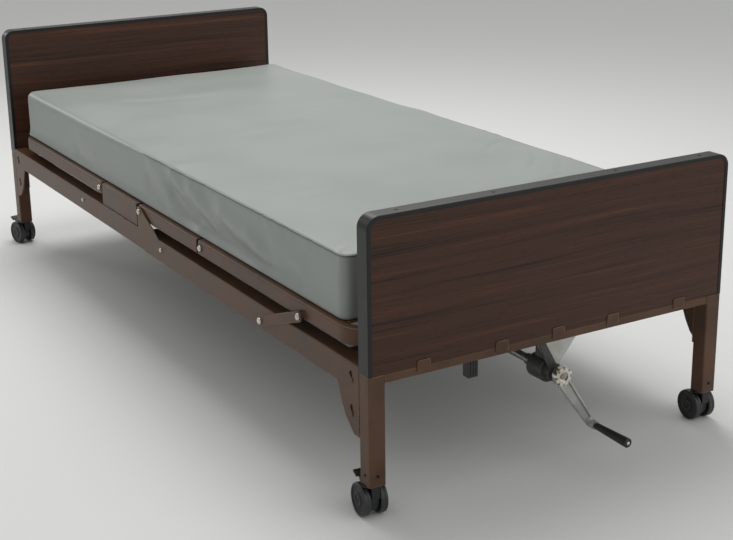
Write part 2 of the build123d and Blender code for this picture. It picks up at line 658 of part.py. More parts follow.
def link_bolt():
    """Bolt and spacer at the upper end of a calf strut."""
    y, z = LINK_HIGH
    pin = rod_x(PIVOT_R, LINK_X, LINK_X + LINK_THICK, y, z)
    spacer = rod_x(8, DECK_OUTER + 0.6, LINK_X, y, z)
    return pin + spacer + dome(BOLT_HEAD_R, 4.5, LINK_X + LINK_THICK, y, z, 1)


# ---- Section actuators ---------------------------------------------------------------------
def pin_start(pivot, swing, way):
    """Where the rod pin stands at rest, along the bed."""
    return pivot[0] - way * LEVER_DROP * sin(radians(swing / 2)) / cos(radians(swing / 2))


BACK_PIN_Y = pin_start(BACK_PIVOT, BACK_SWING, 1)
KNEE_PIN_Y = pin_start(THIGH_PIVOT, THIGH_SWING, -1)
KNEE_ROD_Z = THIGH_PIVOT[1] - LEVER_DROP


def push_rod(x, pin_y, rear_y, z):
    """Actuator rod with a fork and a cross pin at its head end."""
    fork_y = pin_y - 46
    rod = rod_y(ROD_R, rear_y, fork_y, x, z)
    fork = block((x - 13, x + 13), (fork_y, pin_y + 12), (z - 11, z + 11))
    fork = fillet(fork.edges().filter_by(Axis.X), 5)
    gap = LEVER_THICK / 2 + 1
    fork -= block((x - gap, x + gap), (fork_y + 6, pin_y + 20), (z - 20, z + 20))
    return [rod + fork + rod_x(ROD_PIN_R, x - 16, x + 16, pin_y, z)]


def actuator(x, y0, y1, z, motor_side):
    """Gear case with a side motor, and the sleeve that its rod slides in."""
    case = block((x - CASE_HALF_WIDTH, x + CASE_HALF_WIDTH), (y0, y0 + CASE_LENGTH),
                 (z - 28, z + 24))
    case = fillet(case.edges().filter_by(Axis.Y), 9)
    sleeve = rod_y(SLEEVE_R, y0 + CASE_LENGTH, y1, x, z)
    motor_x = x + motor_side * MOTOR_OFFSET
    can = rod_y(MOTOR_R, y0 + 6, y0 + 6 + MOTOR_LENGTH, motor_x, z)
    can = fillet(can.edges().filter_by(GeomType.CIRCLE), 4)
    bridge = block(tuple(sorted((x + motor_side * 30, motor_x))), (y0 + 8, y0 + 70),
                   (z - 18, z + 18))
    mount = block((x - 12, x + 12), (y0 + 20, y0 + 60), (z + 20, CROSS_TUBE_Z - CROSS_TUBE / 2))
    housing = case + can + bridge + sleeve + mount
    return housing - rod_y(ROD_R + RUNNING, y0 + 60, y1 + 1, x, z)


# ---- Hi-lo drive ---------------------------------------------------------------------------
def gearbox():
    """Round gear case under the crossbar, bored for the drive shaft."""
    case = rod_y(CASE_R, CASE_FRONT, CASE_BACK, 0, DRIVE_Z)
    case = fillet(case.edges().filter_by(GeomType.CIRCLE), 4)
    case += rod_y(CASE_NOSE_R, 4, CASE_FRONT + 2, 0, DRIVE_Z)
    case += block((-13, 13), (28, 56), (DRIVE_Z + 10, CROSSBAR_BOTTOM))
    return case - rod_y(SPINDLE_R + RUNNING, 0, CASE_BACK + 5, 0, DRIVE_Z)


def gearbox_bracket():
    """Triangular plate that hangs the gear case on the crossbar."""
    plate = prism_y([(-44, CROSSBAR_BOTTOM), (60, CROSSBAR_BOTTOM), (12, DRIVE_Z + 14),
                     (-12, DRIVE_Z + 14)], 10, 13)
    plate += block((-44, 60), (10, 26), (CROSSBAR_BOTTOM - 3, CROSSBAR_BOTTOM))
    return plate - rod_y(CASE_NOSE_R, 0, 30, 0, DRIVE_Z)


def gearbox_strap():
    """Dark strap from the crossbar down to the nose of the gear case."""
    strap = prism_y([(-43, CROSSBAR_BOTTOM), (-26, CROSSBAR_BOTTOM), (14, DRIVE_Z),
                     (-10, DRIVE_Z)], 5, 10)
    return strap - rod_y(CASE_NOSE_R, 0, 30, 0, DRIVE_Z)


def drive_shaft():
    """Tube that carries the crank's turn to the gear case at the head end."""
    near = CASE_BACK + 0.5
    far = BED_LENGTH - near
    tube = rod_y(SHAFT_R, near, far, 0, DRIVE_Z)
    spindle = rod_y(SPINDLE_R, HUB_FRONT + 4, BED_LENGTH - 10, 0, DRIVE_Z)
    collars = [rod_y(COLLAR_R, y, y + 24, 0, DRIVE_Z) for y in (near + 2, 1090.0, far - 26)]
    return tube + spindle + collars


def crank_hub():
    """Bright castellated ring that clamps the crank arm on the spindle."""
    ring = rod_y(HUB_R, HUB_FRONT, ARM_FRONT, 0, DRIVE_Z)
    ring = fillet(ring.edges().filter_by(GeomType.CIRCLE), 1.5)
    for turn in range(0, 360, 45):
        notch = block((-2.5, 2.5), (HUB_FRONT - 1, HUB_FRONT + 6), (HUB_R - 5, HUB_R + 2))
        ring -= Pos(0, 0, DRIVE_Z) * Rot(0, turn, 0) * notch
    ring -= rod_y(HUB_CUP_R, HUB_FRONT - 1, HUB_FRONT + 7, 0, DRIVE_Z)
    return ring - rod_y(SPINDLE_R, HUB_FRONT, ARM_BACK, 0, DRIVE_Z)


def crank_arm():
    """Pressed arm behind the hub ring, with the spindle that the grip turns on."""
    x, z = CRANK_TIP
    length = hypot(x, DRIVE_Z - z)
    along = (x / length, (z - DRIVE_Z) / length)
    across = (-along[1], along[0])
    outline = [(across[0] * r + dx, across[1] * r + dz)
               for r, dx, dz in ((15, 0, DRIVE_Z), (10, x, z), (-10, x, z), (-15, 0, DRIVE_Z))]
    arm = prism_y(outline, ARM_FRONT, ARM_BACK)
    arm += rod_y(15, ARM_FRONT, ARM_BACK, 0, DRIVE_Z)
    arm += rod_y(10, GRIP_START + 0.5, ARM_BACK, x, z)
    channel = [(across[0] * r + along[0] * t, DRIVE_Z + across[1] * r + along[1] * t)
               for r, t in ((9, 32), (6, length - 16), (-6, length - 16), (-9, 32))]
    arm -= prism_y(channel, ARM_FRONT - 1, ARM_FRONT + 4)
    arm -= rod_y(SPINDLE_R, ARM_FRONT - 1, ARM_BACK + 1, 0, DRIVE_Z)
    return arm + rod_y(AXLE_R, GRIP_END + 4, GRIP_START + 2, x, z)


def crank_grip():
    """Hand grip that widens towards its free end, loose on its spindle."""
    x, z = CRANK_TIP
    cone = Cone(GRIP_R, GRIP_FLARE_R, GRIP_START - GRIP_END)
    grip = Pos(x, (GRIP_START + GRIP_END) / 2, z) * Rot(90, 0, 0) * cone
    end = grip.edges().filter_by(GeomType.CIRCLE).sort_by(Axis.Y)[0]
    return fillet(end, 3) - rod_y(AXLE_R + RUNNING, GRIP_END + 3, GRIP_START + 1, x, z)


def bumper_block():
    """Ribbed plastic stop under the foot crossbar."""
    body = block((-214, -191), (14, 34), (BUMPER_BOTTOM, CROSSBAR_BOTTOM))
    for x in (-209.0, -202.5, -196.0):
        body -= block((x - 1.2, x + 1.2), (13, 15.2), (BUMPER_BOTTOM + 4, CROSSBAR_BOTTOM - 4))
    return body


# ---- Mattress ------------------------------------------------------------------------------
def mattress():
    """Four foam blocks, bevelled where a hinge folds them together."""
    wide = BED_WIDTH
    block_all = block((-MATTRESS_HALF_WIDTH, MATTRESS_HALF_WIDTH),
                      (MATTRESS_FOOT, MATTRESS_HEAD), (MATTRESS_BOTTOM, MATTRESS_TOP))
    block_all = fillet(block_all.edges().filter_by(Axis.Z), MATTRESS_CORNER)
    block_all = fillet(block_all.edges().filter_by(lambda e: abs(e.center().Z - MATTRESS_TOP)
                                                   < 0.1), MATTRESS_EDGE)

    def wedge_line(pivot, angle):
        """The (y, z) line through the pivot, tilted by an angle from upright."""
        y, z = pivot
        rise = MATTRESS_TOP + 20 - z
        return y, y + rise * sin(radians(angle)) / cos(radians(angle)), z, MATTRESS_TOP + 20

    def part(low_line, high_line):
        """The mattress between two cut lines, less half the gap at each."""
        y0, y0_top, z0, top = low_line
        y1, y1_top, z1, _ = high_line
        gap = MATTRESS_GAP / 2
        outline = [(y0 + gap, z0), (y0_top + gap, top), (y1_top - gap, top), (y1 - gap, z1)]
        return block_all & prism_x(outline, -wide, wide)

    foot_end = (MATTRESS_FOOT - 50, MATTRESS_FOOT - 50, 300, MATTRESS_TOP + 20)
    head_end = (MATTRESS_HEAD + 50, MATTRESS_HEAD + 50, 300, MATTRESS_TOP + 20)
    knee = wedge_line(KNEE_PIVOT, 0)
    thigh_low = wedge_line(THIGH_PIVOT, -THIGH_SWING / 2 - 0.6)
    thigh_high = wedge_line(THIGH_PIVOT, THIGH_SWING / 2 + 0.6)
    back_low = wedge_line(BACK_PIVOT, -BACK_SWING / 2 - 0.6)
    back_high = wedge_line(BACK_PIVOT, BACK_SWING / 2 + 0.6)
    knee_scoop = rod_x(KNEE_SWEEP, -wide, wide, *KNEE_PIVOT)
    return {"mattress_calf": part(foot_end, knee),
            "mattress_thigh": part(knee, thigh_low) - knee_scoop,
            "mattress_seat": part(thigh_high, back_low),
            "mattress_back": part(back_high, head_end)}


# ---- All nodes -----------------------------------------------------------------------------
def build_nodes():
    """Every named piece of the bed."""
    nodes = {
        "foot_board": end_board(FOOT_BOARD_TOP),
        "head_board": at_head(end_board(HEAD_BOARD_TOP)),
        "foot_board_edging": board_edging(FOOT_BOARD_TOP),
        "head_board_edging": at_head(board_edging(HEAD_BOARD_TOP)),
        "edging_screws": as_solids(edging_screws(FOOT_BOARD_TOP)
                                   + [at_head(s) for s in edging_screws(HEAD_BOARD_TOP)]),
        "crossbars": as_solids([crossbar(), at_head(crossbar())]),
        "board_clips": as_solids(board_clips() + [at_head(c) for c in board_clips()]),
        "foot_leg_tubes": as_solids([leg_tube(-1), leg_tube(1)]),
        "head_leg_tubes": as_solids([at_head(leg_tube(-1)), at_head(leg_tube(1))]),
    }
    glides = leg_glides(-1) + leg_glides(1)
    nodes["leg_glides"] = as_solids(glides + [at_head(g) for g in glides])
    rivets = leg_rivets(-1) + leg_rivets(1)
    nodes["leg_rivets"] = as_solids(rivets + [at_head(r) for r in rivets])
    brackets = both_sides(end_bracket())
    nodes["end_brackets"] = as_solids(brackets + [at_head(b) for b in brackets])
    nodes["foot_rails"] = as_solids(both_sides(foot_rail()))
    nodes["head_rails"] = as_solids(both_sides(head_rail()))
    nodes["rail_splices"] = as_solids(both_sides(rail_splice()))
    nodes["cross_members"] = as_solids(cross_members())
    nodes["rail_fasteners"] = as_solids([side for head in rail_fasteners()
                                         for side in both_sides(head)])
    nodes["seat_frame"] = as_solids(seat_frame())
    nodes["seat_slats"] = as_solids([slat(y, DECK_INNER - 1) for y in SEAT_SLATS_Y])
    nodes["back_frame"] = as_solids(back_frame())
    nodes["back_slats"] = as_solids([slat(y) for y in BACK_SLATS_Y])
    nodes["thigh_frame"] = as_solids(thigh_frame())
    nodes["thigh_slats"] = as_solids([slat(y) for y in THIGH_SLATS_Y])
    nodes["calf_frame"] = calf_frame()
    nodes["calf_slats"] = as_solids([slat(y) for y in CALF_SLATS_Y])
    nodes["pivot_bolts"] = as_solids(pivot_bolts())
    nodes["knee_bolts"] = as_solids(knee_bolts())
    nodes["calf_links"] = as_solids(both_sides(calf_link()))
    nodes["link_bolts"] = as_solids(both_sides(link_bolt()))
    nodes["back_actuator"] = actuator(ACTUATOR_X, BACK_CASE_Y, BACK_PIN_Y - 60, ROD_Z, 1)
    nodes["knee_actuator"] = actuator(-ACTUATOR_X, KNEE_CASE_Y, KNEE_PIN_Y - 120, KNEE_ROD_Z, -1)
    nodes["back_push_rod"] = as_solids(push_rod(ACTUATOR_X, BACK_PIN_Y, 1110.0, ROD_Z))
    nodes["knee_push_rod"] = as_solids(push_rod(-ACTUATOR_X, KNEE_PIN_Y, 760.0, KNEE_ROD_Z))
    nodes["foot_gearbox"] = gearbox()
    nodes["head_gearbox"] = at_head(gearbox())
    nodes["gearbox_brackets"] = as_solids([gearbox_bracket(), at_head(gearbox_bracket())])
    nodes["gearbox_straps"] = as_solids([gearbox_strap(), at_head(gearbox_strap())])
    nodes["drive_shaft"] = drive_shaft()
    nodes["crank_hub"] = crank_hub()
    nodes["crank_arm"] = crank_arm()
    nodes["crank_grip"] = crank_grip()
    nodes["bumper_block"] = bumper_block()
    nodes.update(mattress())
    for name, (side, at_far_end, _, has_pedal) in CASTERS.items():
        leg_y = BED_LENGTH - LEG_Y if at_far_end else LEG_Y
        nodes[f"{name}_inner_leg"] = Pos(side * LEG_X, leg_y, 0) * inner_leg()
        nodes[f"{name}_caster_yoke"] = place_caster(caster_yoke(has_pedal), name)
        wheels = [place_caster(piece, name) for piece in caster_wheels()]
        nodes[f"{name}_caster_wheels"] = as_solids(wheels)
        if has_pedal:
            nodes[f"{name}_brake_pedal"] = place_caster(brake_pedal(), name)
    return nodes


def main():
    """Builds the bed and writes one file for each node."""
    os.makedirs("parts", exist_ok=True)
    for name, shape in build_nodes().items():
        export_step(Pos(0, Y_SHIFT, 0) * shape, f"parts/{name}.step")


main()
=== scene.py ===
"""Adjustable hospital bed: its sewn mattress, finishes, casters, crank details, studio and camera.

All sizes are in metres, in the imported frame: +Y towards the head end, +Z up, floor at z = 0.
"""

import json
import logging
import math
from dataclasses import dataclass
from enum import Enum
from typing import Iterable, Sequence

import bmesh
import bpy
import numpy as np
from mathutils import Matrix, Vector
from mathutils.bvhtree import BVHTree

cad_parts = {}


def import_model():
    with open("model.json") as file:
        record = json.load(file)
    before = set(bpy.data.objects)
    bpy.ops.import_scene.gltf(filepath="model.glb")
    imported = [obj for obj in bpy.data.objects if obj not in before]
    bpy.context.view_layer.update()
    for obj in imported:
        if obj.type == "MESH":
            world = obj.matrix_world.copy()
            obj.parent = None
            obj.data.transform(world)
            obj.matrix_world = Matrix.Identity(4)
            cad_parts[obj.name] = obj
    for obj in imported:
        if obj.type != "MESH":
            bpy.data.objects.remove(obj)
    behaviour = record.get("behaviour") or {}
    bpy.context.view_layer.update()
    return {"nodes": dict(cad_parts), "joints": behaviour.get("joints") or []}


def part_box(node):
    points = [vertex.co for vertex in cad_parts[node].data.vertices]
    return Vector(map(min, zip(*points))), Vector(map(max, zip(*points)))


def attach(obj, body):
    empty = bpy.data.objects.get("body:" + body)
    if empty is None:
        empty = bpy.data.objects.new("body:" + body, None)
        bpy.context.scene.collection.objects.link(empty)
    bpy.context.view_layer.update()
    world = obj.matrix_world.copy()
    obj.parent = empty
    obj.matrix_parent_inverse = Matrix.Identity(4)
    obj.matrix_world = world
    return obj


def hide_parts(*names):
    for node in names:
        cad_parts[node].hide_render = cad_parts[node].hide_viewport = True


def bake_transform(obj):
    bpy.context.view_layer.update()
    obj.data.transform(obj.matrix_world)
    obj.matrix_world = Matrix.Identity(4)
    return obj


MM = 0.001
LOG = logging.getLogger("hospital_bed")

Socket = bpy.types.NodeSocket
Tree = bpy.types.NodeTree
Profile = Sequence[tuple[float, float]]


class Slot(Enum):
    """The record's material slots."""

    LAMINATE = "walnut_laminate"
    EDGING = "black_edging"
    SCREW = "black_screws"
    ENAMEL = "brown_enamel"
    BOLT = "bright_bolts"
    BARE_STEEL = "bare_steel"
    ZINC = "zinc_plate"
    CASTING = "dark_casting"
    NYLON = "black_plastic"
    MOTOR = "actuator_plastic"
    TREAD = "caster_rubber"
    VINYL = "grey_vinyl"


# ---- Node and mesh helpers -----------------------------------------------------------------
def linear(code: str) -> tuple[float, float, float, float]:
    """Turn an sRGB hex colour, such as "#4A3A30", into linear RGBA."""
    channels = [int(code[i:i + 2], 16) / 255 for i in (1, 3, 5)]
    return (*(c / 12.92 if c <= 0.04045 else ((c + 0.055) / 1.055) ** 2.4 for c in channels), 1.0)


def add(tree: Tree, kind: str, settings: dict | None = None,
        links: dict | None = None) -> bpy.types.Node:
    """Add one node with its settings and links.

    Args:
        tree: the material's node tree.
        kind: the node's type without its "ShaderNode" prefix.
        settings: values by attribute name, or by input name or number. "stops" holds a colour
            ramp's places and hex colours.
        links: source sockets by input name or number.

    Returns:
        The new node.
    """
    node = tree.nodes.new("ShaderNode" + kind)
    for key, value in (settings or {}).items():
        if key == "stops":
            ramp = node.color_ramp.elements
            while len(ramp) < len(value):
                ramp.new(0.5)
            for stop, (place, code) in zip(ramp, value):
                stop.position, stop.color = place, linear(code)
        elif isinstance(key, str) and hasattr(node, key):
            setattr(node, key, value)
        else:
            node.inputs[key].default_value = value
    for key, socket in (links or {}).items():
        tree.links.new(socket, node.inputs[key])
    return node


def make_piece(name: str, vertices: Iterable, faces: Iterable,
               *materials: bpy.types.Material) -> bpy.types.Object:
    """Make a smooth-shaded mesh piece.

    Args:
        name: the piece's name.
        vertices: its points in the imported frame.
        faces: its faces as tuples of point numbers.
        materials: its materials, in slot order.

    Returns:
        The new object, linked to the scene.
    """
    mesh = bpy.data.meshes.new(name)
    mesh.from_pydata([tuple(v) for v in vertices], [], list(faces))
    mesh.validate()
    mesh.shade_smooth()
    for material in materials:
        mesh.materials.append(material)
    piece = bpy.data.objects.new(name, mesh)
    bpy.context.scene.collection.objects.link(piece)
    return piece


def read_points(mesh: bpy.types.Mesh) -> np.ndarray:
    """Read a mesh's points as an array of rows."""
    points = np.empty(len(mesh.vertices) * 3)
    mesh.vertices.foreach_get("co", points)
    return points.reshape(-1, 3)


def write_points(mesh: bpy.types.Mesh, points: np.ndarray) -> None:
    """Write an array of rows back as a mesh's points."""
    mesh.vertices.foreach_set("co", points.astype(np.float32).ravel())
    mesh.update()


def read_normals(mesh: bpy.types.Mesh) -> np.ndarray:
    """Read a mesh's point normals as an array of rows."""
    normals = np.empty(len(mesh.vertices) * 3)
    mesh.vertices.foreach_get("normal", normals)
    return normals.reshape(-1, 3)


def lathe(profile: Profile, centre: Vector, axis: Vector, sides: int) -> tuple[list, list]:
    """Turn a profile about an axis.

    Args:
        profile: (distance along the axis, radius) pairs. It is open, and ends near radius 0.
        centre: the point on the axis at distance 0.
        axis: the axis's direction.
        sides: the number of steps in a full turn.

    Returns:
        The points and the faces.
    """
    turn = axis.normalized().to_track_quat("Z", "X").to_matrix()
    points, faces = [], []
    for along, radius in profile:
        for step in range(sides):
            angle = math.tau * step / sides
            local = Vector((radius * math.cos(angle), radius * math.sin(angle), along))
            points.append(centre + turn @ local)
    for ring in range(len(profile) - 1):
        for step in range(sides):
            after = (step + 1) % sides
            low, high = ring * sides, (ring + 1) * sides
            faces.append((low + step, low + after, high + after, high + step))
    faces.append(tuple(range(sides - 1, -1, -1)))
    last = (len(profile) - 1) * sides
    faces.append(tuple(range(last, last + sides)))
    return points, faces


def tube(path: np.ndarray, radii: np.ndarray, sides: int, closed: bool) -> tuple[list, list]:
    """Sweep a round section along a path.

    Args:
        path: the path's points, as rows.
        radii: the section's radius at each point.
        sides: the number of sides of the section.
        closed: whether the path joins its own start.

    Returns:
        The points and the faces.
    """
    count = len(path)
    ahead = np.roll(path, -1, 0) - np.roll(path, 1, 0)
    if not closed:
        ahead[0], ahead[-1] = path[1] - path[0], path[-1] - path[-2]
    points, faces = [], []
    for place, direction, radius in zip(path, ahead, radii):
        forward = Vector(direction).normalized()
        side = forward.cross(Vector((0, 0, 1)))
        side = side.normalized() if side.length > 0.1 else Vector((1, 0, 0))
        up = side.cross(forward)
        for step in range(sides):
            angle = math.tau * step / sides
            points.append(Vector(place) + (side * math.cos(angle) + up * math.sin(angle)) * radius)
    for ring in range(count if closed else count - 1):
        low, high = ring * sides, (ring + 1) % count * sides
        for step in range(sides):
            after = (step + 1) % sides
            faces.append((low + step, low + after, high + after, high + step))
    if not closed:
        faces.append(tuple(range(sides - 1, -1, -1)))
        faces.append(tuple(range((count - 1) * sides, count * sides)))
    return points, faces


def merge(points: list, faces: list, made: list, quads: list) -> None:
    """Append one part's points and faces to a piece's own, with the faces renumbered."""
    faces += [tuple(n + len(points) for n in quad) for quad in quads]
    points += made


def report(piece: bpy.types.Object, place: str) -> None:
    """Log one finished piece and the body or bodies that carry it."""
    LOG.info("%s: %d faces, on %s", piece.name, len(piece.data.polygons), place)


# ---- Finishes ------------------------------------------------------------------------------
@dataclass(frozen=True)
class Finish:
    """What a surface is made of and how it was made."""

    name: str
    colour: str
    roughness: float
    ior: float = 1.5
    metallic: float = 0.0

    def material(self) -> bpy.types.Material:
        """Build the material: the plain shader first, then this finish's own detail."""
        material = bpy.data.materials.new(self.name)
        material.use_nodes = True
        tree = material.node_tree
        shader = tree.nodes["Principled BSDF"]
        shader.inputs["Base Color"].default_value = linear(self.colour)
        shader.inputs["Roughness"].default_value = self.roughness
        shader.inputs["IOR"].default_value = self.ior
        shader.inputs["Metallic"].default_value = self.metallic
        place = add(tree, "TexCoord").outputs["Object"]
        self.detail(tree, shader, place)
        return material

    def detail(self, tree: Tree, shader: bpy.types.Node, place: Socket) -> None:
        """Add the finish's pattern, wear and relief to its shader.

        Args:
            tree: the material's node tree.
            shader: its principled shader.
            place: object coordinates.
        """
        raise NotImplementedError

    def spread(self, tree: Tree, shader: bpy.types.Node, source: Socket, amount: float) -> None:
        """Let the roughness vary either side of its own value.

        Args:
            tree: the material's node tree.
            shader: its principled shader.
            source: what it varies by, from 0 to 1.
            amount: how far it varies each way.
        """
        varied = add(tree, "Math", {"operation": "MULTIPLY_ADD", 1: 2 * amount,
                                    2: self.roughness - amount}, {0: source})
        tree.links.new(varied.outputs[0], shader.inputs["Roughness"])


@dataclass(frozen=True)
class WalnutLaminate(Finish):
    """Melamine-faced board, printed and pressed: long dark streaks, short pores, a satin face."""

    dark: str = "#1F120C"
    light: str = "#5C3A26"
    band: tuple[float, float] = (1100.0, 16.0)
    streak: tuple[float, float] = (300.0, 2.6)
    pore: tuple[float, float] = (26.0, 1.2)
    sway: tuple[float, float] = (900.0, 240.0)

    def along(self, tree: Tree, place: Socket, size: tuple[float, float]) -> Socket:
        """Stretch coordinates along the grain, by a figure's length and width in millimetres."""
        length, width = size
        scale = (1 / (length * MM), 1 / (60 * MM), 1 / (width * MM))
        return add(tree, "Mapping", {"Scale": scale}, {"Vector": place}).outputs[0]

    def detail(self, tree: Tree, shader: bpy.types.Node, place: Socket) -> None:
        """Add bands, streaks and pores along X, and a shallow pressed pore relief.

        Args:
            tree: the material's node tree.
            shader: its principled shader.
            place: object coordinates.
        """
        wander = add(tree, "TexNoise", {"Scale": 1.0, "Detail": 1.0},
                     {"Vector": self.along(tree, place, self.sway)}).outputs[0]
        lift = add(tree, "Math", {"operation": "MULTIPLY_ADD", 1: 0.05, 2: -0.025}, {0: wander})
        shift = add(tree, "CombineXYZ", {}, {"Z": lift.outputs[0]}).outputs[0]
        flow = add(tree, "VectorMath", {"operation": "ADD"}, {0: place, 1: shift}).outputs[0]
        bands = add(tree, "TexNoise", {"Scale": 1.0, "Detail": 2.0},
                    {"Vector": self.along(tree, flow, self.band)}).outputs[0]
        streaks = add(tree, "TexNoise", {"Scale": 1.0, "Detail": 4.0, "Roughness": 0.62},
                      {"Vector": self.along(tree, flow, self.streak)}).outputs[0]
        pores = add(tree, "TexNoise", {"Scale": 1.0, "Detail": 2.0},
                    {"Vector": self.along(tree, flow, self.pore)}).outputs[0]
        figure = add(tree, "Mix", {"data_type": "FLOAT", 0: 0.52}, {2: bands, 3: streaks}).outputs[0]
        tone = add(tree, "ValToRGB", {"stops": [(0.36, self.dark), (0.47, self.colour),
                                                (0.54, self.colour), (0.68, self.light)]},
                   {0: figure}).outputs[0]
        pits = add(tree, "MapRange", {1: 0.56, 2: 0.68, 3: 0.0, 4: 0.55}, {0: pores}).outputs[0]
        face = add(tree, "Mix", {"data_type": "RGBA", 7: linear(self.dark)}, {0: pits, 6: tone})
        tree.links.new(face.outputs[2], shader.inputs["Base Color"])
        self.spread(tree, shader, streaks, 0.10)
        relief = add(tree, "Bump", {"Strength": 0.25, "Distance": 0.15 * MM, "invert": True},
                     {"Height": pits})
        tree.links.new(relief.outputs[0], shader.inputs["Normal"])


@dataclass(frozen=True)
class StovedEnamel(Finish):
    """Powder coat baked on steel: a faint orange peel, soft mottling, edges painted brighter, partly as
    rubbed wear and partly as a painted highlight.
    """

    # lighter edge colour: rubbed primer, and also a painted highlight along the edges
    rubbed_and_highlight: str = "#B4967A"
    shade: str = "#402B1C"
    peel: float = 5.0  # real peel is near 1.5 mm; drawn coarser so that it shows
    mottle: float = 110.0
    edge: float = 3.0
    wear_and_highlight: float = 0.85

    def detail(self, tree: Tree, shader: bpy.types.Node, place: Socket) -> None:
        """Add mottling, rounded edges painted brighter as rubbed wear and as a painted highlight, and
        the peel relief.

        Args:
            tree: the material's node tree.
            shader: its principled shader.
            place: object coordinates.
        """
        cloud = add(tree, "TexNoise", {"Scale": 1 / (self.mottle * MM), "Detail": 5.0},
                    {"Vector": place}).outputs[0]
        body = add(tree, "ValToRGB", {"stops": [(0.30, self.shade), (0.60, self.colour)]},
                   {0: cloud}).outputs[0]
        # edges painted lighter: partly rubbed wear, partly a painted highlight where the edges catch
        # the light
        rounded = add(tree, "Bevel", {"samples": 4, "Radius": self.edge * MM}).outputs[0]
        flat = add(tree, "NewGeometry").outputs["Normal"]
        turn = add(tree, "VectorMath", {"operation": "DOT_PRODUCT"}, {0: rounded, 1: flat})
        edges = add(tree, "MapRange", {1: 0.985, 2: 0.80, 3: 0.0, 4: self.wear_and_highlight},
                    {0: turn.outputs["Value"]}).outputs[0]
        patches = add(tree, "TexNoise", {"Scale": 1 / (24 * MM), "Detail": 6.0, "Roughness": 0.7},
                      {"Vector": place}).outputs[0]
        rub_and_highlight_patches = add(tree, "MapRange", {1: 0.38, 2: 0.62, 3: 0.05, 4: 1.0}, {0: patches}).outputs[0]
        worn_and_highlit = add(tree, "Math", {"operation": "MULTIPLY"}, {0: edges, 1: rub_and_highlight_patches}).outputs[0]
        face = add(tree, "Mix", {"data_type": "RGBA", 7: linear(self.rubbed_and_highlight)}, {0: worn_and_highlit, 6: body})
        tree.links.new(face.outputs[2], shader.inputs["Base Color"])
        self.spread(tree, shader, cloud, 0.08)
        grain = add(tree, "TexNoise", {"Scale": 1 / (self.peel * MM), "Detail": 1.0},
                    {"Vector": place}).outputs[0]
        relief = add(tree, "Bump", {"Strength": 0.10, "Distance": 0.5 * MM},
                     {"Height": grain, "Normal": rounded})
        tree.links.new(relief.outputs[0], shader.inputs["Normal"])
        shader.inputs["Coat Weight"].default_value = 0.08
        shader.inputs["Coat Roughness"].default_value = 0.25


@dataclass(frozen=True)
class MouldedPlastic(Finish):
    """Injection-moulded or extruded plastic: a spark-eroded grain and lighter scuffs."""

    scuff: str = "#5A5D5E"
    grain: float = 2.0  # real spark grain is near 0.2 mm; drawn coarser so that it shows
    scuffs: float = 0.35
    edge: float = 1.2

    def detail(self, tree: Tree, shader: bpy.types.Node, place: Socket) -> None:
        """Add scuffs, softened edges and the moulded grain.

        Args:
            tree: the material's node tree.
            shader: its principled shader.
            place: object coordinates.
        """
        rub = add(tree, "TexNoise", {"Scale": 1 / (60 * MM), "Detail": 8.0, "Roughness": 0.75},
                  {"Vector": place}).outputs[0]
        mask = add(tree, "MapRange", {1: 0.55, 2: 0.78, 3: 0.0, 4: self.scuffs}, {0: rub}).outputs[0]
        face = add(tree, "Mix", {"data_type": "RGBA", 6: linear(self.colour),
                                 7: linear(self.scuff)}, {0: mask})
        tree.links.new(face.outputs[2], shader.inputs["Base Color"])
        self.spread(tree, shader, rub, 0.12)
        rounded = add(tree, "Bevel", {"samples": 4, "Radius": self.edge * MM}).outputs[0]
        grain = add(tree, "TexNoise", {"Scale": 1 / (self.grain * MM), "Detail": 2.0},
                    {"Vector": place}).outputs[0]
        relief = add(tree, "Bump", {"Strength": 0.18, "Distance": 0.3 * MM},
                     {"Height": grain, "Normal": rounded})
        tree.links.new(relief.outputs[0], shader.inputs["Normal"])


@dataclass(frozen=True)
class PlatedSteel(Finish):
    """Electroplated or ground steel: a cool and a warm bloom, fine drawing lines."""

    bloom: str = "#A9A89F"
    patch: float = 34.0
    line: float = 0.8  # real drawing lines are near 0.1 mm; drawn coarser so that they show
    drawn: tuple[float, float, float] = (1.0, 0.06, 1.0)
    edge: float = 0.8

    def detail(self, tree: Tree, shader: bpy.types.Node, place: Socket) -> None:
        """Add the plating's bloom, fine lines along Y and softened edges.

        Args:
            tree: the material's node tree.
            shader: its principled shader.
            place: object coordinates.
        """
        cloud = add(tree, "TexNoise", {"Scale": 1 / (self.patch * MM), "Detail": 4.0},
                    {"Vector": place}).outputs[0]
        face = add(tree, "ValToRGB", {"stops": [(0.35, self.bloom), (0.62, self.colour)]},
                   {0: cloud}).outputs[0]
        tree.links.new(face, shader.inputs["Base Color"])
        self.spread(tree, shader, cloud, 0.08)
        rounded = add(tree, "Bevel", {"samples": 4, "Radius": self.edge * MM}).outputs[0]
        drawn = add(tree, "Mapping", {"Scale": self.drawn}, {"Vector": place}).outputs[0]
        lines = add(tree, "TexNoise", {"Scale": 1 / (self.line * MM), "Detail": 2.0},
                    {"Vector": drawn}).outputs[0]
        relief = add(tree, "Bump", {"Strength": 0.08, "Distance": 0.1 * MM},
                     {"Height": lines, "Normal": rounded})
        tree.links.new(relief.outputs[0], shader.inputs["Normal"])


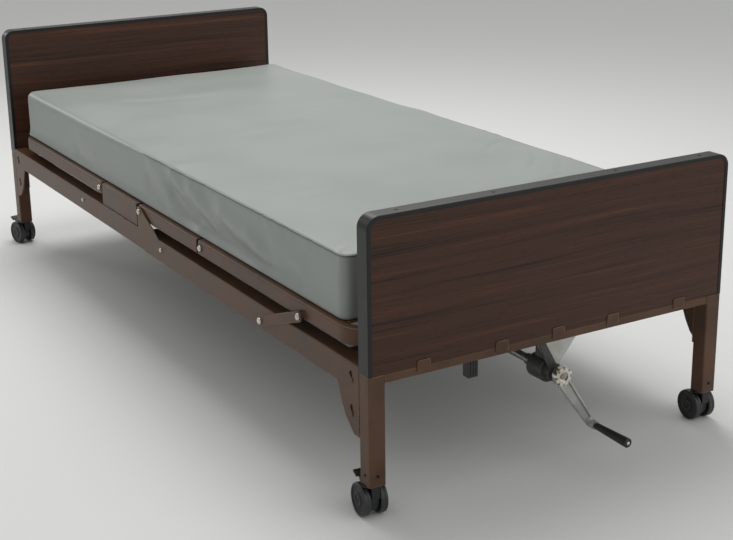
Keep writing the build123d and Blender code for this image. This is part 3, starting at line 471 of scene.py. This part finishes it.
@dataclass(frozen=True)
class CastMetal(Finish):
    """Painted sand casting: a pebbled skin with dust in its hollows."""

    dust: str = "#4C4A47"
    pebble: float = 3.0  # real casting sand leaves about 1 mm; drawn coarser so that it shows

    def detail(self, tree: Tree, shader: bpy.types.Node, place: Socket) -> None:
        """Add the pebbled relief and the dust that settles in it.

        Args:
            tree: the material's node tree.
            shader: its principled shader.
            place: object coordinates.
        """
        skin = add(tree, "TexNoise", {"Scale": 1 / (self.pebble * MM), "Detail": 3.0},
                   {"Vector": place}).outputs[0]
        face = add(tree, "ValToRGB", {"stops": [(0.38, self.dust), (0.52, self.colour)]},
                   {0: skin}).outputs[0]
        tree.links.new(face, shader.inputs["Base Color"])
        self.spread(tree, shader, skin, 0.10)
        rounded = add(tree, "Bevel", {"samples": 4, "Radius": 1.5 * MM}).outputs[0]
        relief = add(tree, "Bump", {"Strength": 0.30, "Distance": 0.6 * MM},
                     {"Height": skin, "Normal": rounded})
        tree.links.new(relief.outputs[0], shader.inputs["Normal"])


@dataclass(frozen=True)
class CoatedVinyl(Finish):
    """Vinyl-coated nylon, calendered: a pebbled emboss, a low sheen and faint handling marks."""

    tint: str = "#868D89"
    emboss: float = 3.2  # real emboss is near 1 mm; drawn coarser so that it shows
    mark: float = 260.0

    def detail(self, tree: Tree, shader: bpy.types.Node, place: Socket) -> None:
        """Add broad tone changes, the emboss and small creases in it.

        Args:
            tree: the material's node tree.
            shader: its principled shader.
            place: object coordinates.
        """
        tone = add(tree, "TexNoise", {"Scale": 1 / (self.mark * MM), "Detail": 4.0},
                   {"Vector": place}).outputs[0]
        face = add(tree, "ValToRGB", {"stops": [(0.25, self.tint), (0.68, self.colour)]},
                   {0: tone}).outputs[0]
        tree.links.new(face, shader.inputs["Base Color"])
        self.spread(tree, shader, tone, 0.06)
        pebbles = add(tree, "TexVoronoi", {"Scale": 1 / (self.emboss * MM)},
                      {"Vector": place}).outputs["Distance"]
        creases = add(tree, "TexNoise", {"Scale": 1 / (22 * MM), "Detail": 5.0, "Distortion": 0.6},
                      {"Vector": place}).outputs[0]
        both = add(tree, "Math", {"operation": "MULTIPLY_ADD", 1: 0.12}, {0: pebbles, 2: creases})
        relief = add(tree, "Bump", {"Strength": 0.12, "Distance": 1.0 * MM},
                     {"Height": both.outputs[0]})
        tree.links.new(relief.outputs[0], shader.inputs["Normal"])
        shader.inputs["Sheen Weight"].default_value = 0.06
        shader.inputs["Sheen Roughness"].default_value = 0.4


@dataclass(frozen=True)
class StudioFloor(Finish):
    """Pale seamless studio floor, matt, with a very faint unevenness."""

    def detail(self, tree: Tree, shader: bpy.types.Node, place: Socket) -> None:
        """Let the tone of the floor drift a little."""
        drift = add(tree, "TexNoise", {"Scale": 0.8, "Detail": 3.0}, {"Vector": place}).outputs[0]
        self.spread(tree, shader, drift, 0.05)


FINISHES = {
    Slot.LAMINATE: WalnutLaminate("walnut_laminate_pressed", "#40261A", 0.40, ior=1.36),
    Slot.EDGING: MouldedPlastic("black_pvc_edging_extruded", "#101212", 0.36, ior=1.42, scuff="#343737",
                                scuffs=0.25),
    Slot.SCREW: PlatedSteel("black_oxide_screws", "#1D1D1E", 0.38, metallic=0.7, bloom="#141415"),
    Slot.ENAMEL: StovedEnamel("brown_enamel_stoved", "#553A26", 0.42, ior=1.38),
    Slot.BOLT: PlatedSteel("nickel_plated_bolts", "#D8D5CE", 0.20, metallic=1.0, bloom="#B9B4A8"),
    Slot.BARE_STEEL: PlatedSteel("bright_drawn_steel", "#9C9D9E", 0.30, metallic=1.0,
                                 bloom="#77726A"),
    Slot.ZINC: PlatedSteel("zinc_plated_steel", "#B9BABA", 0.44, metallic=0.9),
    Slot.CASTING: CastMetal("dark_painted_casting", "#2C2D2E", 0.48),
    Slot.NYLON: MouldedPlastic("black_nylon_moulded", "#161718", 0.42, scuff="#3C3E40"),
    Slot.MOTOR: MouldedPlastic("dark_grey_abs_moulded", "#33363A", 0.45),
    Slot.TREAD: MouldedPlastic("grey_polyurethane_tread", "#2B2D2E", 0.36, scuff="#55585A"),
    Slot.VINYL: CoatedVinyl("grey_green_vinyl_coated", "#8F9592", 0.40),
}


@dataclass
class Palette:
    """Every material of the bed, made once and shared."""

    polished: tuple[str, ...] = ("crank_hub",)  # plated like the arm behind it, but burnished by use

    def __post_init__(self) -> None:
        """Make the shared materials and the three that only the detailed pieces wear."""
        self.materials = {slot: finish.material() for slot, finish in FINISHES.items()}
        self.piping = CoatedVinyl("grey_green_vinyl_piping", "#5B615E", 0.40, tint="#4F5552",
                                  mark=60.0).material()
        self.wheel_face = MouldedPlastic("charcoal_nylon_moulded", "#0E0F10", 0.40, ior=1.42,
                                         scuff="#25272A").material()
        self.weld = StovedEnamel("brown_enamel_over_weld", "#553A26", 0.42, peel=2.0).material()

    def __getitem__(self, slot: Slot) -> bpy.types.Material:
        """The material of one slot."""
        return self.materials[slot]

    def dress(self, nodes: dict[str, bpy.types.Object]) -> None:
        """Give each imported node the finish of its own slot.

        Args:
            nodes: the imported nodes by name.
        """
        for name, node in sorted(nodes.items()):
            for place in node.material_slots:
                slot = Slot(place.material.name.split(".")[0])
                place.material = self[Slot.BOLT if name in self.polished else slot]
            LOG.info("%s: dressed as %s", name, slot.value)


# ---- Mattress ------------------------------------------------------------------------------
@dataclass(frozen=True)
class Fold:
    """A soft fold in the cover: a ridge with a hollow along one side."""

    start: tuple[float, float, float]
    end: tuple[float, float, float]
    width: float
    height: float
    bow: float = 0.0

    def lift(self, points: np.ndarray) -> np.ndarray:
        """How far the fold lifts each point.

        Args:
            points: the cover's points, as rows.

        Returns:
            One height for each point, which falls to nothing away from the fold.
        """
        a, b = np.array(self.start), np.array(self.end)
        run = b - a
        length = np.linalg.norm(run)
        run /= length
        face = int(np.argmax(np.abs(a) * (np.abs(run) < 1e-6))) if 0.0 in run else 2
        across = np.cross(np.eye(3)[face], run)
        local = points - a
        along = local @ run / length
        bent = self.bow * np.sin(np.clip(along, 0, 1) * math.pi)
        offset = (local @ across - bent) / self.width
        away = np.abs(local[:, face]) / (3 * self.width)
        ends = np.clip(np.minimum(along, 1 - along) * 4 + 0.15, 0, 1)
        ridge = 0.6 * np.exp(-offset ** 2) - 0.9 * np.exp(-(offset - 1.6) ** 2)
        return self.height * ridge * ends ** 2 * np.exp(-away ** 2)


@dataclass(frozen=True)
class Span:
    """A stretch of the mattress that bends over one joint."""

    name: str
    replaces: tuple[str, ...]
    low: float
    high: float
    still_body: str
    moving_body: str
    bend_start: float
    bend_end: float


@dataclass
class Mattress:
    """The foam mattress in its sewn cover, made whole, then cut where both sides move alike."""

    palette: Palette
    joints: list[dict]
    cell: float = 14 * MM
    near_lines: tuple[float, ...] = (0, 3, 6, 10, 15, 21, 28)  # millimetres in from each face
    corner: float = 24 * MM
    foot_edge: float = 8 * MM
    head_edge: float = 20 * MM
    bottom_edge: float = 5 * MM
    start_inset: float = 3 * MM
    pressure: float = 3.0
    swell_frames: int = 20
    cap: float = 5 * MM
    held_height: float = 22 * MM  # the cover swells freely above this; the deck holds it below
    fold_floor: float = 24 * MM  # folds fade below this, towards the deck
    bulge: float = 9 * MM  # how far a fold may stand out past the foam's sides
    wave: float = 0.8 * MM
    gather: float = 0.45 * MM
    gather_depth: float = 34 * MM
    piping_radius: float = 1.7 * MM
    piping_step: float = 9 * MM
    piping_proud: float = 0.9
    piping_sink: float = 3.9
    piped_share: float = 0.46
    bend_reach: float = 0.145  # half the length of cover that turns at a hinge

    def __post_init__(self) -> None:
        """Read the hinges' places and the foam's own box."""
        self.hinge = {j["name"]: j["pos_m"] for j in self.joints if "pos_m" in j}
        self.low = Vector(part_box("mattress_calf")[0])
        self.high = Vector(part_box("mattress_back")[1])

    def lines(self, low: float, high: float) -> list[float]:
        """Grid lines between two faces, closer together near both.

        Args:
            low: the lower face's place.
            high: the higher face's place.

        Returns:
            The lines' places in order, both faces included.
        """
        near = [n * MM for n in self.near_lines]
        middle_low, middle_high = low + near[-1], high - near[-1]
        steps = max(1, round((middle_high - middle_low) / self.cell))
        middle = [middle_low + (middle_high - middle_low) * i / steps for i in range(1, steps)]
        return [low + n for n in near] + middle + [high - n for n in reversed(near)]

    def shell(self) -> bpy.types.Object:
        """A closed box of quads on the grid lines, slightly inside the final size.

        Returns:
            The whole cover, before it swells.
        """
        inset = self.start_inset
        xs = self.lines(self.low.x + inset, self.high.x - inset)
        ys = self.lines(self.low.y + inset, self.high.y - inset)
        zs = self.lines(self.low.z, self.high.z - inset)
        numbers: dict[tuple[int, int, int], int] = {}
        points: list[tuple[float, float, float]] = []
        faces: list[tuple[int, ...]] = []

        def number(i: int, j: int, k: int) -> int:
            """The number of a grid point, made when it is first met."""
            if (i, j, k) not in numbers:
                numbers[i, j, k] = len(points)
                points.append((xs[i], ys[j], zs[k]))
            return numbers[i, j, k]

        nx, ny, nz = len(xs) - 1, len(ys) - 1, len(zs) - 1
        for i in range(nx):
            for j in range(ny):
                for k, turned in ((0, True), (nz, False)):
                    quad = [number(i, j, k), number(i + 1, j, k),
                            number(i + 1, j + 1, k), number(i, j + 1, k)]
                    faces.append(tuple(reversed(quad)) if turned else tuple(quad))
        for k in range(nz):
            for i in range(nx):
                for j, turned in ((0, False), (ny, True)):
                    quad = [number(i, j, k), number(i + 1, j, k),
                            number(i + 1, j, k + 1), number(i, j, k + 1)]
                    faces.append(tuple(reversed(quad)) if turned else tuple(quad))
            for j in range(ny):
                for i, turned in ((0, True), (nx, False)):
                    quad = [number(i, j, k), number(i, j + 1, k),
                            number(i, j + 1, k + 1), number(i, j, k + 1)]
                    faces.append(tuple(reversed(quad)) if turned else tuple(quad))
        shaped = self.rounded(np.array(points), inset)
        return make_piece("mattress_whole", shaped, faces, self.palette[Slot.VINYL])

    def softness(self, y: np.ndarray) -> np.ndarray:
        """How soft the top edge is at each place.

        Args:
            y: places along the bed.

        Returns:
            0 on the piped foot half, rising to 1 towards the head.
        """
        run = (y - self.low.y) / (self.high.y - self.low.y)
        part = np.clip((run - self.piped_share) / 0.25, 0, 1)
        return part * part * (3 - 2 * part)

    def rounded(self, points: np.ndarray, inset: float) -> np.ndarray:
        """Round the box's upright corners and its top and bottom edges.

        Args:
            points: the box's surface points, as rows.
            inset: how far the box stands inside the final size.

        Returns:
            The rounded points.
        """
        low = np.array([self.low.x + inset, self.low.y + inset])
        high = np.array([self.high.x - inset, self.high.y - inset])
        plan, z = points[:, :2], points[:, 2]
        core = np.clip(plan, low + self.corner, high - self.corner)
        offset = plan - core
        reach = np.maximum(np.linalg.norm(offset, axis=1), 1e-9)
        offset *= (np.abs(offset).max(1) / reach)[:, None]
        reach = np.linalg.norm(offset, axis=1)
        outward = offset / np.maximum(reach, 1e-9)[:, None]
        depth_in = self.corner - reach
        top_edge = self.foot_edge + (self.head_edge - self.foot_edge) * self.softness(plan[:, 1])
        for depth, edge, sign in ((self.high.z - inset - z, top_edge, -1),
                                  (z - self.low.z, np.full(len(z), self.bottom_edge), 1)):
            u, v = edge - depth_in, edge - depth
            corner = (u > 0) & (v > 0) & (reach > 0)
            scale = np.where(corner, np.maximum(u, v) / np.maximum(np.hypot(u, v), 1e-9), 1.0)
            depth_in = np.where(corner, edge - u * scale, depth_in)
            z = np.where(corner, z + sign * (v - v * scale), z)
        plan = core + outward * np.where(reach > 0, self.corner - depth_in, 0)[:, None]
        return np.column_stack([plan, z])

    def inflate(self, piece: bpy.types.Object) -> None:
        """Swell the cover over its foam by cloth simulation, and keep the capped result.

        Args:
            piece: the whole cover, whose points are moved.
        """
        before = read_points(piece.data)
        cloth = piece.modifiers.new("swell", "CLOTH")
        cloth.settings.use_pressure = True
        cloth.settings.uniform_pressure_force = self.pressure
        cloth.settings.quality = 4
        cloth.settings.effector_weights.gravity = 0
        for frame_number in range(1, self.swell_frames + 1):
            bpy.context.scene.frame_set(frame_number)
        graph = bpy.context.evaluated_depsgraph_get()
        swollen = read_points(piece.evaluated_get(graph).to_mesh())
        piece.modifiers.remove(cloth)
        bpy.context.scene.frame_set(1)
        move = swollen - before
        distance = np.maximum(np.linalg.norm(move, axis=1), 1e-9)
        held = np.clip((before[:, 2] - self.low.z) / self.held_height, 0, 1)
        move *= (held * self.cap * np.tanh(distance / self.cap) / distance)[:, None]
        write_points(piece.data, before + move)

    def folds(self) -> list[Fold]:
        """The folds that handling has left in the cover.

        Returns:
            Slanting folds on the near side, three echoed on the far side, then creases on top.
        """
        side, top, foot = self.low.x, self.high.z, self.low.y
        other = self.high.x
        # from and to: metres from the foot end, then millimetres up; width and height in millimetres
        slants = [(0.900, 138, 0.655, 34, 30, 14.0), (0.790, 132, 0.540, 20, 26, 11.0),
                  (0.640, 104, 0.310, 24, 30, 13.0), (0.480, 84, 0.240, 22, 24, 6.5),
                  (1.030, 124, 0.850, 56, 28, 5.0), (0.360, 96, 0.130, 44, 30, 4.5),
                  (1.560, 96, 1.360, 34, 32, 3.2)]
        folds = [Fold((side, foot + y0, self.low.z + z0 * MM), (side, foot + y1, self.low.z + z1 * MM),
                      width * MM, height * MM) for y0, z0, y1, z1, width, height in slants]
        folds += [Fold((other, foot + y0 + 0.35, self.low.z + z0 * MM),
                       (other, foot + y1 + 0.15, self.low.z + z1 * MM), width * MM, height * MM)
                  for y0, z0, y1, z1, width, height in slants[1:4]]
        # from and to: metres across, then from the foot end; width and height in millimetres; bow
        creases = [(0.405, 0.560, 0.235, 0.330, 11, 1.5, 0.02),
                   (0.425, 0.470, 0.285, 0.270, 9, 1.2, 0.01),
                   (0.430, 0.660, 0.250, 0.520, 12, 1.5, -0.02),
                   (0.330, 0.300, 0.160, 0.240, 12, 1.1, 0.01),
                   (0.420, 0.830, 0.120, 0.880, 20, 1.3, 0.03),
                   (0.200, 1.180, -0.250, 1.060, 26, 1.6, 0.02),
                   (0.400, 1.300, 0.050, 1.230, 22, 1.4, -0.02),
                   (-0.060, 0.560, -0.390, 0.430, 24, 1.4, 0.02),
                   (0.100, 1.620, -0.300, 1.700, 28, 1.6, 0.03),
                   (-0.436, 0.014, -0.395, 0.050, 8, 1.6, 0.0)]
        folds += [Fold((x0, foot + y0, top), (x1, foot + y1, top), width * MM, height * MM, bow)
                  for x0, y0, x1, y1, width, height, bow in creases]
        return folds

    def crease(self, piece: bpy.types.Object) -> None:
        """Lift the folds, and pull small puckers towards the top seam.

        Args:
            piece: the whole cover, whose points are moved.
        """
        points, normals = read_points(piece.data), read_normals(piece.data)
        lift = sum(fold.lift(points) for fold in self.folds())
        swell = np.sin(points[:, 1] * math.tau / 0.31) * np.sin(points[:, 0] * math.tau / 0.37 + 1)
        lift = lift + self.wave * swell
        below_seam = np.clip((self.high.z - points[:, 2]) / self.gather_depth, 0, 1)
        beside = np.abs(normals[:, 2]) < 0.6
        ripple = np.sin((points[:, 0] + points[:, 1]) * math.tau / 0.047
                        + 2.6 * np.sin(points[:, 1] * 13.0)) * np.sin(points[:, 1] * 7.0) ** 2
        pucker = self.gather * ripple * (1 - self.softness(points[:, 1]))
        lift = lift + np.where(beside, pucker * below_seam * (1 - below_seam) * 4, 0)
        resting = normals[:, 2] < -0.5
        lift = lift * np.clip((points[:, 2] - self.low.z) / self.fold_floor, 0.1, 1)
        points += normals * np.where(resting, 0, lift)[:, None]
        points[:, 0] = np.clip(points[:, 0], self.low.x - self.bulge, self.high.x + self.bulge)
        points[:, 2] = np.clip(points[:, 2], self.low.z, None)
        write_points(piece.data, points)

    def seam_path(self, piece: bpy.types.Object) -> tuple[np.ndarray, np.ndarray]:
        """Where the piping runs: round the top edge, sunk at the head end where the edge is soft.

        Args:
            piece: the whole cover, which the piping lies on.

        Returns:
            The path's points and the piping's radius at each.
        """
        skin = BVHTree.FromObject(piece, bpy.context.evaluated_depsgraph_get())
        radius = self.corner
        path = []
        corners = [(self.high.x - radius, self.high.y - radius, 0.0),
                   (self.low.x + radius, self.high.y - radius, 90.0),
                   (self.low.x + radius, self.low.y + radius, 180.0),
                   (self.high.x - radius, self.low.y + radius, 270.0)]
        outline = []
        for x, y, angle in corners:
            for step in range(7):
                a = math.radians(angle + 15 * step)
                outline.append(Vector((x + radius * math.cos(a), y + radius * math.sin(a), 0)))
        for here, after in zip(outline, outline[1:] + outline[:1]):
            steps = max(1, round((after - here).length / self.piping_step))
            path += [here.lerp(after, i / steps) for i in range(steps)]
        points = []
        middle = (self.low + self.high) / 2
        for place in path:
            outside = Vector((place.x, place.y, self.high.z))
            away = Vector((place.x - middle.x, place.y - middle.y, 0)).normalized()
            found, normal, _, _ = skin.find_nearest(outside + away * 4 * MM)
            sink = min(float(self.softness(np.array(place.y))) * 4, 1)
            points.append(found + normal * (self.piping_proud - self.piping_sink * sink) * MM)
        return np.array(points), np.full(len(points), self.piping_radius)

    def spans(self) -> list[Span]:
        """The three stretches of the mattress, each across one hinge.

        Returns:
            The head, middle and foot spans.
        """
        back, thigh, knee = (self.hinge[n][1] for n in ("back_tilt", "thigh_tilt", "calf_fold"))
        seat_middle, thigh_middle = (back + thigh) / 2, (thigh + knee) / 2
        reach, slack = self.bend_reach, 10 * MM
        return [
            Span("head", ("mattress_back",), seat_middle, self.high.y + 0.1, "bed_base",
                 "back_section", seat_middle + slack, back + reach),
            Span("middle", ("mattress_seat", "mattress_thigh"), thigh_middle, seat_middle,
                 "bed_base", "thigh_section", min(thigh + reach, seat_middle - slack),
                 thigh - reach),
            Span("foot", ("mattress_calf",), self.low.y - 0.1, thigh_middle, "thigh_section",
                 "calf_section", knee + reach, knee - reach)]

    def cut(self, whole: bpy.types.Object, name: str, span: Span) -> bpy.types.Object:
        """Copy one span out of a whole piece and close its cut faces.

        Args:
            whole: the piece to cut.
            name: the new piece's name.
            span: where to cut.

        Returns:
            The new piece.
        """
        body = bmesh.new()
        body.from_mesh(whole.data)
        for y, normal in ((span.low, (0, -1, 0)), (span.high, (0, 1, 0))):
            geometry = body.verts[:] + body.edges[:] + body.faces[:]
            made = bmesh.ops.bisect_plane(body, geom=geometry, dist=1e-6, plane_co=(0, y, 0),
                                          plane_no=normal, clear_outer=True)
            rim = [e for e in made["geom_cut"] if isinstance(e, bmesh.types.BMEdge) and e.is_boundary]
            bmesh.ops.holes_fill(body, edges=rim, sides=0)
            for edge in rim:
                edge.smooth = False
        mesh = bpy.data.meshes.new(name)
        body.to_mesh(mesh)
        body.free()
        for material in whole.data.materials:
            mesh.materials.append(material)
        piece = bpy.data.objects.new(name, mesh)
        bpy.context.scene.collection.objects.link(piece)
        return piece

    def build(self) -> None:
        """Make the cover and its piping, and cut them into one stretch across each hinge."""
        whole = self.shell()
        self.inflate(whole)
        finer = whole.modifiers.new("finer", "SUBSURF")
        finer.levels = finer.render_levels = 1
        graph = bpy.context.evaluated_depsgraph_get()
        whole.data = bpy.data.meshes.new_from_object(whole.evaluated_get(graph))
        whole.modifiers.clear()
        self.crease(whole)
        path, radii = self.seam_path(whole)
        piping = make_piece("piping_whole", *tube(path, radii, 8, True), self.palette.piping)
        for span in self.spans():
            cover = self.cut(whole, f"mattress_cover_{span.name}", span)
            welt = self.cut(piping, f"mattress_piping_{span.name}", span)
            for piece in (cover, welt):
                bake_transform(piece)
                report(piece, f"{span.still_body} and {span.moving_body}")
            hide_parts(*span.replaces)
        for piece in (whole, piping):
            bpy.data.objects.remove(piece)


# ---- Casters and crank ---------------------------------------------------------------------
@dataclass
class CasterWheels:
    """Each caster's pair of moulded wheels: a grooved tread and a dished, ringed face."""

    palette: Palette
    joints: list[dict]
    inner_face: float = 10 * MM
    radius: float = 35 * MM
    tread: float = 3.2 * MM
    hub: float = 4 * MM
    hub_reach: float = 4 * MM
    sides: int = 72
    hub_sides: int = 24
    # distance out from the inner face and distance in from the tread, in millimetres
    outline: Profile = ((0.0, 22.0), (0.0, 5.0), (0.6, 2.0), (2.0, 0.6), (3.5, 0.0), (7.4, 0.0),
                       (7.8, 0.5), (9.2, 0.5), (9.6, 0.0), (13.5, 0.0), (15.4, 0.6), (16.6, 2.4),
                       (17.0, 4.4), (16.7, 6.2), (15.4, 7.4), (14.9, 9.0), (14.6, 18.0), (15.3, 19.6),
                       (16.4, 20.4), (16.8, 22.8), (16.4, 25.4), (15.6, 26.2), (15.4, 30.0),
                       (15.9, 31.0))

    def build(self) -> None:
        """Make one wheel pair for each rolling joint."""
        for joint in (j for j in self.joints if j["name"].endswith("_roll")):
            name = joint["name"].removesuffix("_roll")
            centre, axis = Vector(joint["pos_m"]), Vector(joint["axis"])
            points: list[Vector] = []
            faces: list[tuple[int, ...]] = []
            for side in (-1, 1):
                profile = [(self.inner_face + out * MM, self.radius - inward * MM)
                           for out, inward in self.outline]
                merge(points, faces, *lathe(profile, centre, axis * side, self.sides))
            width = self.inner_face + self.hub_reach
            rod = [(-width, self.hub), (width, self.hub)]
            merge(points, faces, *lathe(rod, centre, axis, self.hub_sides))
            piece = make_piece(f"{name}_wheel_pair", points, faces, self.palette.wheel_face,
                               self.palette[Slot.TREAD], self.palette[Slot.BOLT])
            direction = axis.normalized()
            for face in piece.data.polygons:
                out = face.center - centre
                from_axis = (out - direction * out.dot(direction)).length
                if from_axis > self.radius - self.tread:
                    face.material_index = 1
            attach(piece, joint["child"])
            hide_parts(f"{name}_caster_wheels")
            report(piece, joint["child"])


@dataclass
class CrankGrip:
    """The crank's ribbed grip, wider towards its free end, and the rivet that holds it on."""

    palette: Palette
    joints: list[dict]
    rib_pitch: float = 5.2 * MM
    rib_depth: float = 0.6 * MM
    arm_radius: float = 7.5 * MM
    sides: int = 48
    rings: int = 150
    rivet_sides: int = 32
    # distance out from the grip's end and radius, in millimetres
    rivet_head: Profile = ((-1.5, 3.9), (0.0, 4.0), (0.9, 3.4), (1.4, 2.0), (1.5, 0.6))

    def __post_init__(self) -> None:
        """Find the grip's joint and its packed box."""
        self.joint = next(j for j in self.joints if j["name"] == "grip_spin")
        self.low, self.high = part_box("crank_grip")

    def profile(self) -> Profile:
        """The grip's outline.

        Returns:
            (distance, radius) pairs from its arm end to its wider free end.
        """
        length = self.high.y - self.low.y
        end_radius = (self.high.x - self.low.x) / 2
        outline = [(0.0, 5.2 * MM), (0.0, 6.0 * MM), (1.2 * MM, self.arm_radius - 0.5 * MM)]
        for i in range(self.rings + 1):
            along = 2 * MM + (length - 7 * MM) * i / self.rings
            radius = self.arm_radius + (end_radius - self.arm_radius) * along / length
            rib = max(0.0, math.sin(math.tau * along / self.rib_pitch)) ** 0.5
            outline.append((along, radius - self.rib_depth * (1 - rib)))
        outline += [(length - 2.4 * MM, end_radius - 0.3 * MM),
                    (length - 0.9 * MM, end_radius - 1.4 * MM),
                    (length - 0.3 * MM, end_radius - 3 * MM), (length - 0.3 * MM, 4.6 * MM)]
        return outline

    def build(self) -> None:
        """Make the grip and its rivet."""
        x, z = self.joint["pos_m"][0], self.joint["pos_m"][2]
        start = Vector((x, self.high.y, z))
        outward = Vector((0, -1, 0))
        grip = make_piece("ribbed_grip", *lathe(self.profile(), start, outward, self.sides),
                          self.palette[Slot.NYLON])
        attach(grip, "grip")
        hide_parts("crank_grip")
        report(grip, "grip")
        head = [(along * MM, radius * MM) for along, radius in self.rivet_head]
        tip = Vector((x, self.low.y, z))
        rivet = make_piece("grip_rivet", *lathe(head, tip, outward, self.rivet_sides),
                           self.palette[Slot.BOLT])
        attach(rivet, "crank")
        report(rivet, "crank")


@dataclass
class Welds:
    """Rippled weld beads where the crossbars meet the leg tubes."""

    palette: Palette
    radius: float = 1.7 * MM
    ripple: float = 4.2 * MM  # real ripples are near 1.5 mm; made coarser so that they show
    ring_step: float = 0.7 * MM
    end_gap: float = 1 * MM

    def bead(self, start: Vector, end: Vector) -> tuple[list, list]:
        """One straight bead with overlapping ripples.

        Args:
            start: where the bead starts.
            end: where it ends.

        Returns:
            The points and the faces.
        """
        length = (end - start).length
        steps = max(8, round(length / self.ring_step))
        path = np.array([start.lerp(end, i / steps) for i in range(steps + 1)])
        phase = np.linspace(0, length / self.ripple, steps + 1) % 1.0
        radii = self.radius * (0.80 + 0.25 * np.sqrt(1 - phase))
        radii[0] = radii[-1] = self.radius * 0.3
        return tube(path, radii, 8, False)

    def build(self) -> None:
        """Make the beads on both faces of both crossbars."""
        low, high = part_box("crossbars")
        leg_low, leg_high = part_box("foot_leg_tubes")
        thick = leg_high.y - leg_low.y
        inner = leg_high.x - thick
        points: list[Vector] = []
        faces: list[tuple[int, ...]] = []
        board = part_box("foot_board")[0].z
        for outer, into in ((low.y, 1), (high.y, -1)):
            for y in (outer, outer + into * thick):
                for side in (-1, 1):
                    seam = [Vector((side * inner, y, z))
                            for z in (low.z + self.end_gap, board - self.end_gap)]
                    merge(points, faces, *self.bead(*seam))
        piece = make_piece("crossbar_welds", points, faces, self.palette.weld)
        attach(piece, "bed_base")
        report(piece, "bed_base")


# ---- Studio --------------------------------------------------------------------------------
@dataclass(frozen=True)
class Viewpoint:
    """A camera by its place and its bearing, tilt and roll in degrees."""

    place: tuple[float, float, float]
    bearing: float
    tilt: float
    roll: float
    lens: float
    shift: tuple[float, float]

    def build(self) -> None:
        """Make the camera and look through it."""
        bearing, tilt, roll = (math.radians(a) for a in (self.bearing, self.tilt, self.roll))
        forward = Vector((math.sin(bearing) * math.cos(tilt), math.cos(bearing) * math.cos(tilt),
                          math.sin(tilt)))
        level = Vector((math.cos(bearing), -math.sin(bearing), 0))
        up = level.cross(forward)
        right = level * math.cos(roll) + up * math.sin(roll)
        top = up * math.cos(roll) - level * math.sin(roll)
        data = bpy.data.cameras.new("viewpoint")
        data.lens = self.lens
        data.shift_x, data.shift_y = self.shift
        data.clip_end = 200
        camera = bpy.data.objects.new("viewpoint", data)
        turn = Matrix((right, top, -forward)).transposed().to_4x4()
        camera.matrix_world = Matrix.Translation(self.place) @ turn
        bpy.context.scene.collection.objects.link(camera)
        bpy.context.scene.camera = camera


@dataclass(frozen=True)
class Softbox:
    """A soft rectangular studio light aimed at a point."""

    name: str
    place: tuple[float, float, float]
    target: tuple[float, float, float]
    size: tuple[float, float]
    watts: float
    colour: str = "#FFFFFF"

    def build(self) -> None:
        """Make the light and aim it."""
        data = bpy.data.lights.new(self.name, "AREA")
        data.shape = "RECTANGLE"
        data.size, data.size_y = self.size
        data.energy = self.watts
        data.color = linear(self.colour)[:3]
        light = bpy.data.objects.new(self.name, data)
        light.location = self.place
        aim = Vector(self.target) - Vector(self.place)
        light.rotation_euler = aim.to_track_quat("-Z", "Y").to_euler()
        bpy.context.scene.collection.objects.link(light)


@dataclass(frozen=True)
class Studio:
    """A pale floor, an even pale surround and soft light from above."""

    reach: float = 40.0
    cells: int = 8
    surround: str = "#F4F4F3"
    strength: float = 0.58
    boxes: tuple[Softbox, ...] = (
        Softbox("overhead", (0.4, 1.0, 3.2), (0.0, 0.0, 0.4), (2.2, 3.0), 74.0, "#FFFEFB"),
        Softbox("front_fill", (1.8, -4.2, 2.2), (0.0, -0.4, 0.4), (3.0, 2.4), 28.0, "#FCFCFB"),
        Softbox("side_rake", (-1.5, 3.8, 1.8), (-0.4, -0.4, 0.4), (0.8, 0.8), 10.0, "#FFFFFD"),
    )

    def build(self) -> None:
        """Make the floor, the surround and the lights."""
        scene = bpy.context.scene
        scene.view_settings.view_transform = "Standard"
        world = bpy.data.worlds.new("surround")
        world.use_nodes = True
        shader = world.node_tree.nodes["Background"]
        shader.inputs["Color"].default_value = linear(self.surround)
        shader.inputs["Strength"].default_value = self.strength
        scene.world = world
        cells, r = self.cells, self.reach
        step = 2 * r / cells
        points = [(-r + step * i, -r + step * j, 0) for j in range(cells + 1) for i in range(cells + 1)]
        faces = [(n, n + 1, n + cells + 2, n + cells + 1)
                 for j in range(cells) for n in range(j * (cells + 1), j * (cells + 1) + cells)]
        floor = make_piece("studio_floor", points, faces,
                           StudioFloor("pale_studio_floor", "#DFE0DF", 0.75).material())
        for box in self.boxes:
            box.build()


# Stands off the foot-left corner at standing eye height and looks down along the bed.
VIEWPOINT = Viewpoint(place=(-1.7491, -3.2670, 1.3768), bearing=30.43, tilt=-17.13, roll=-0.78,
                      lens=70.17, shift=(0.004, -0.045))


def main() -> None:
    """Build the bed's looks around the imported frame, part by part."""
    logging.basicConfig(level=logging.INFO, format="%(message)s")
    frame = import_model()
    VIEWPOINT.build()
    Studio().build()
    palette = Palette()
    palette.dress(frame["nodes"])
    Mattress(palette, frame["joints"]).build()
    CasterWheels(palette, frame["joints"]).build()
    CrankGrip(palette, frame["joints"]).build()
    Welds(palette).build()


if __name__ == "__main__":
    main()
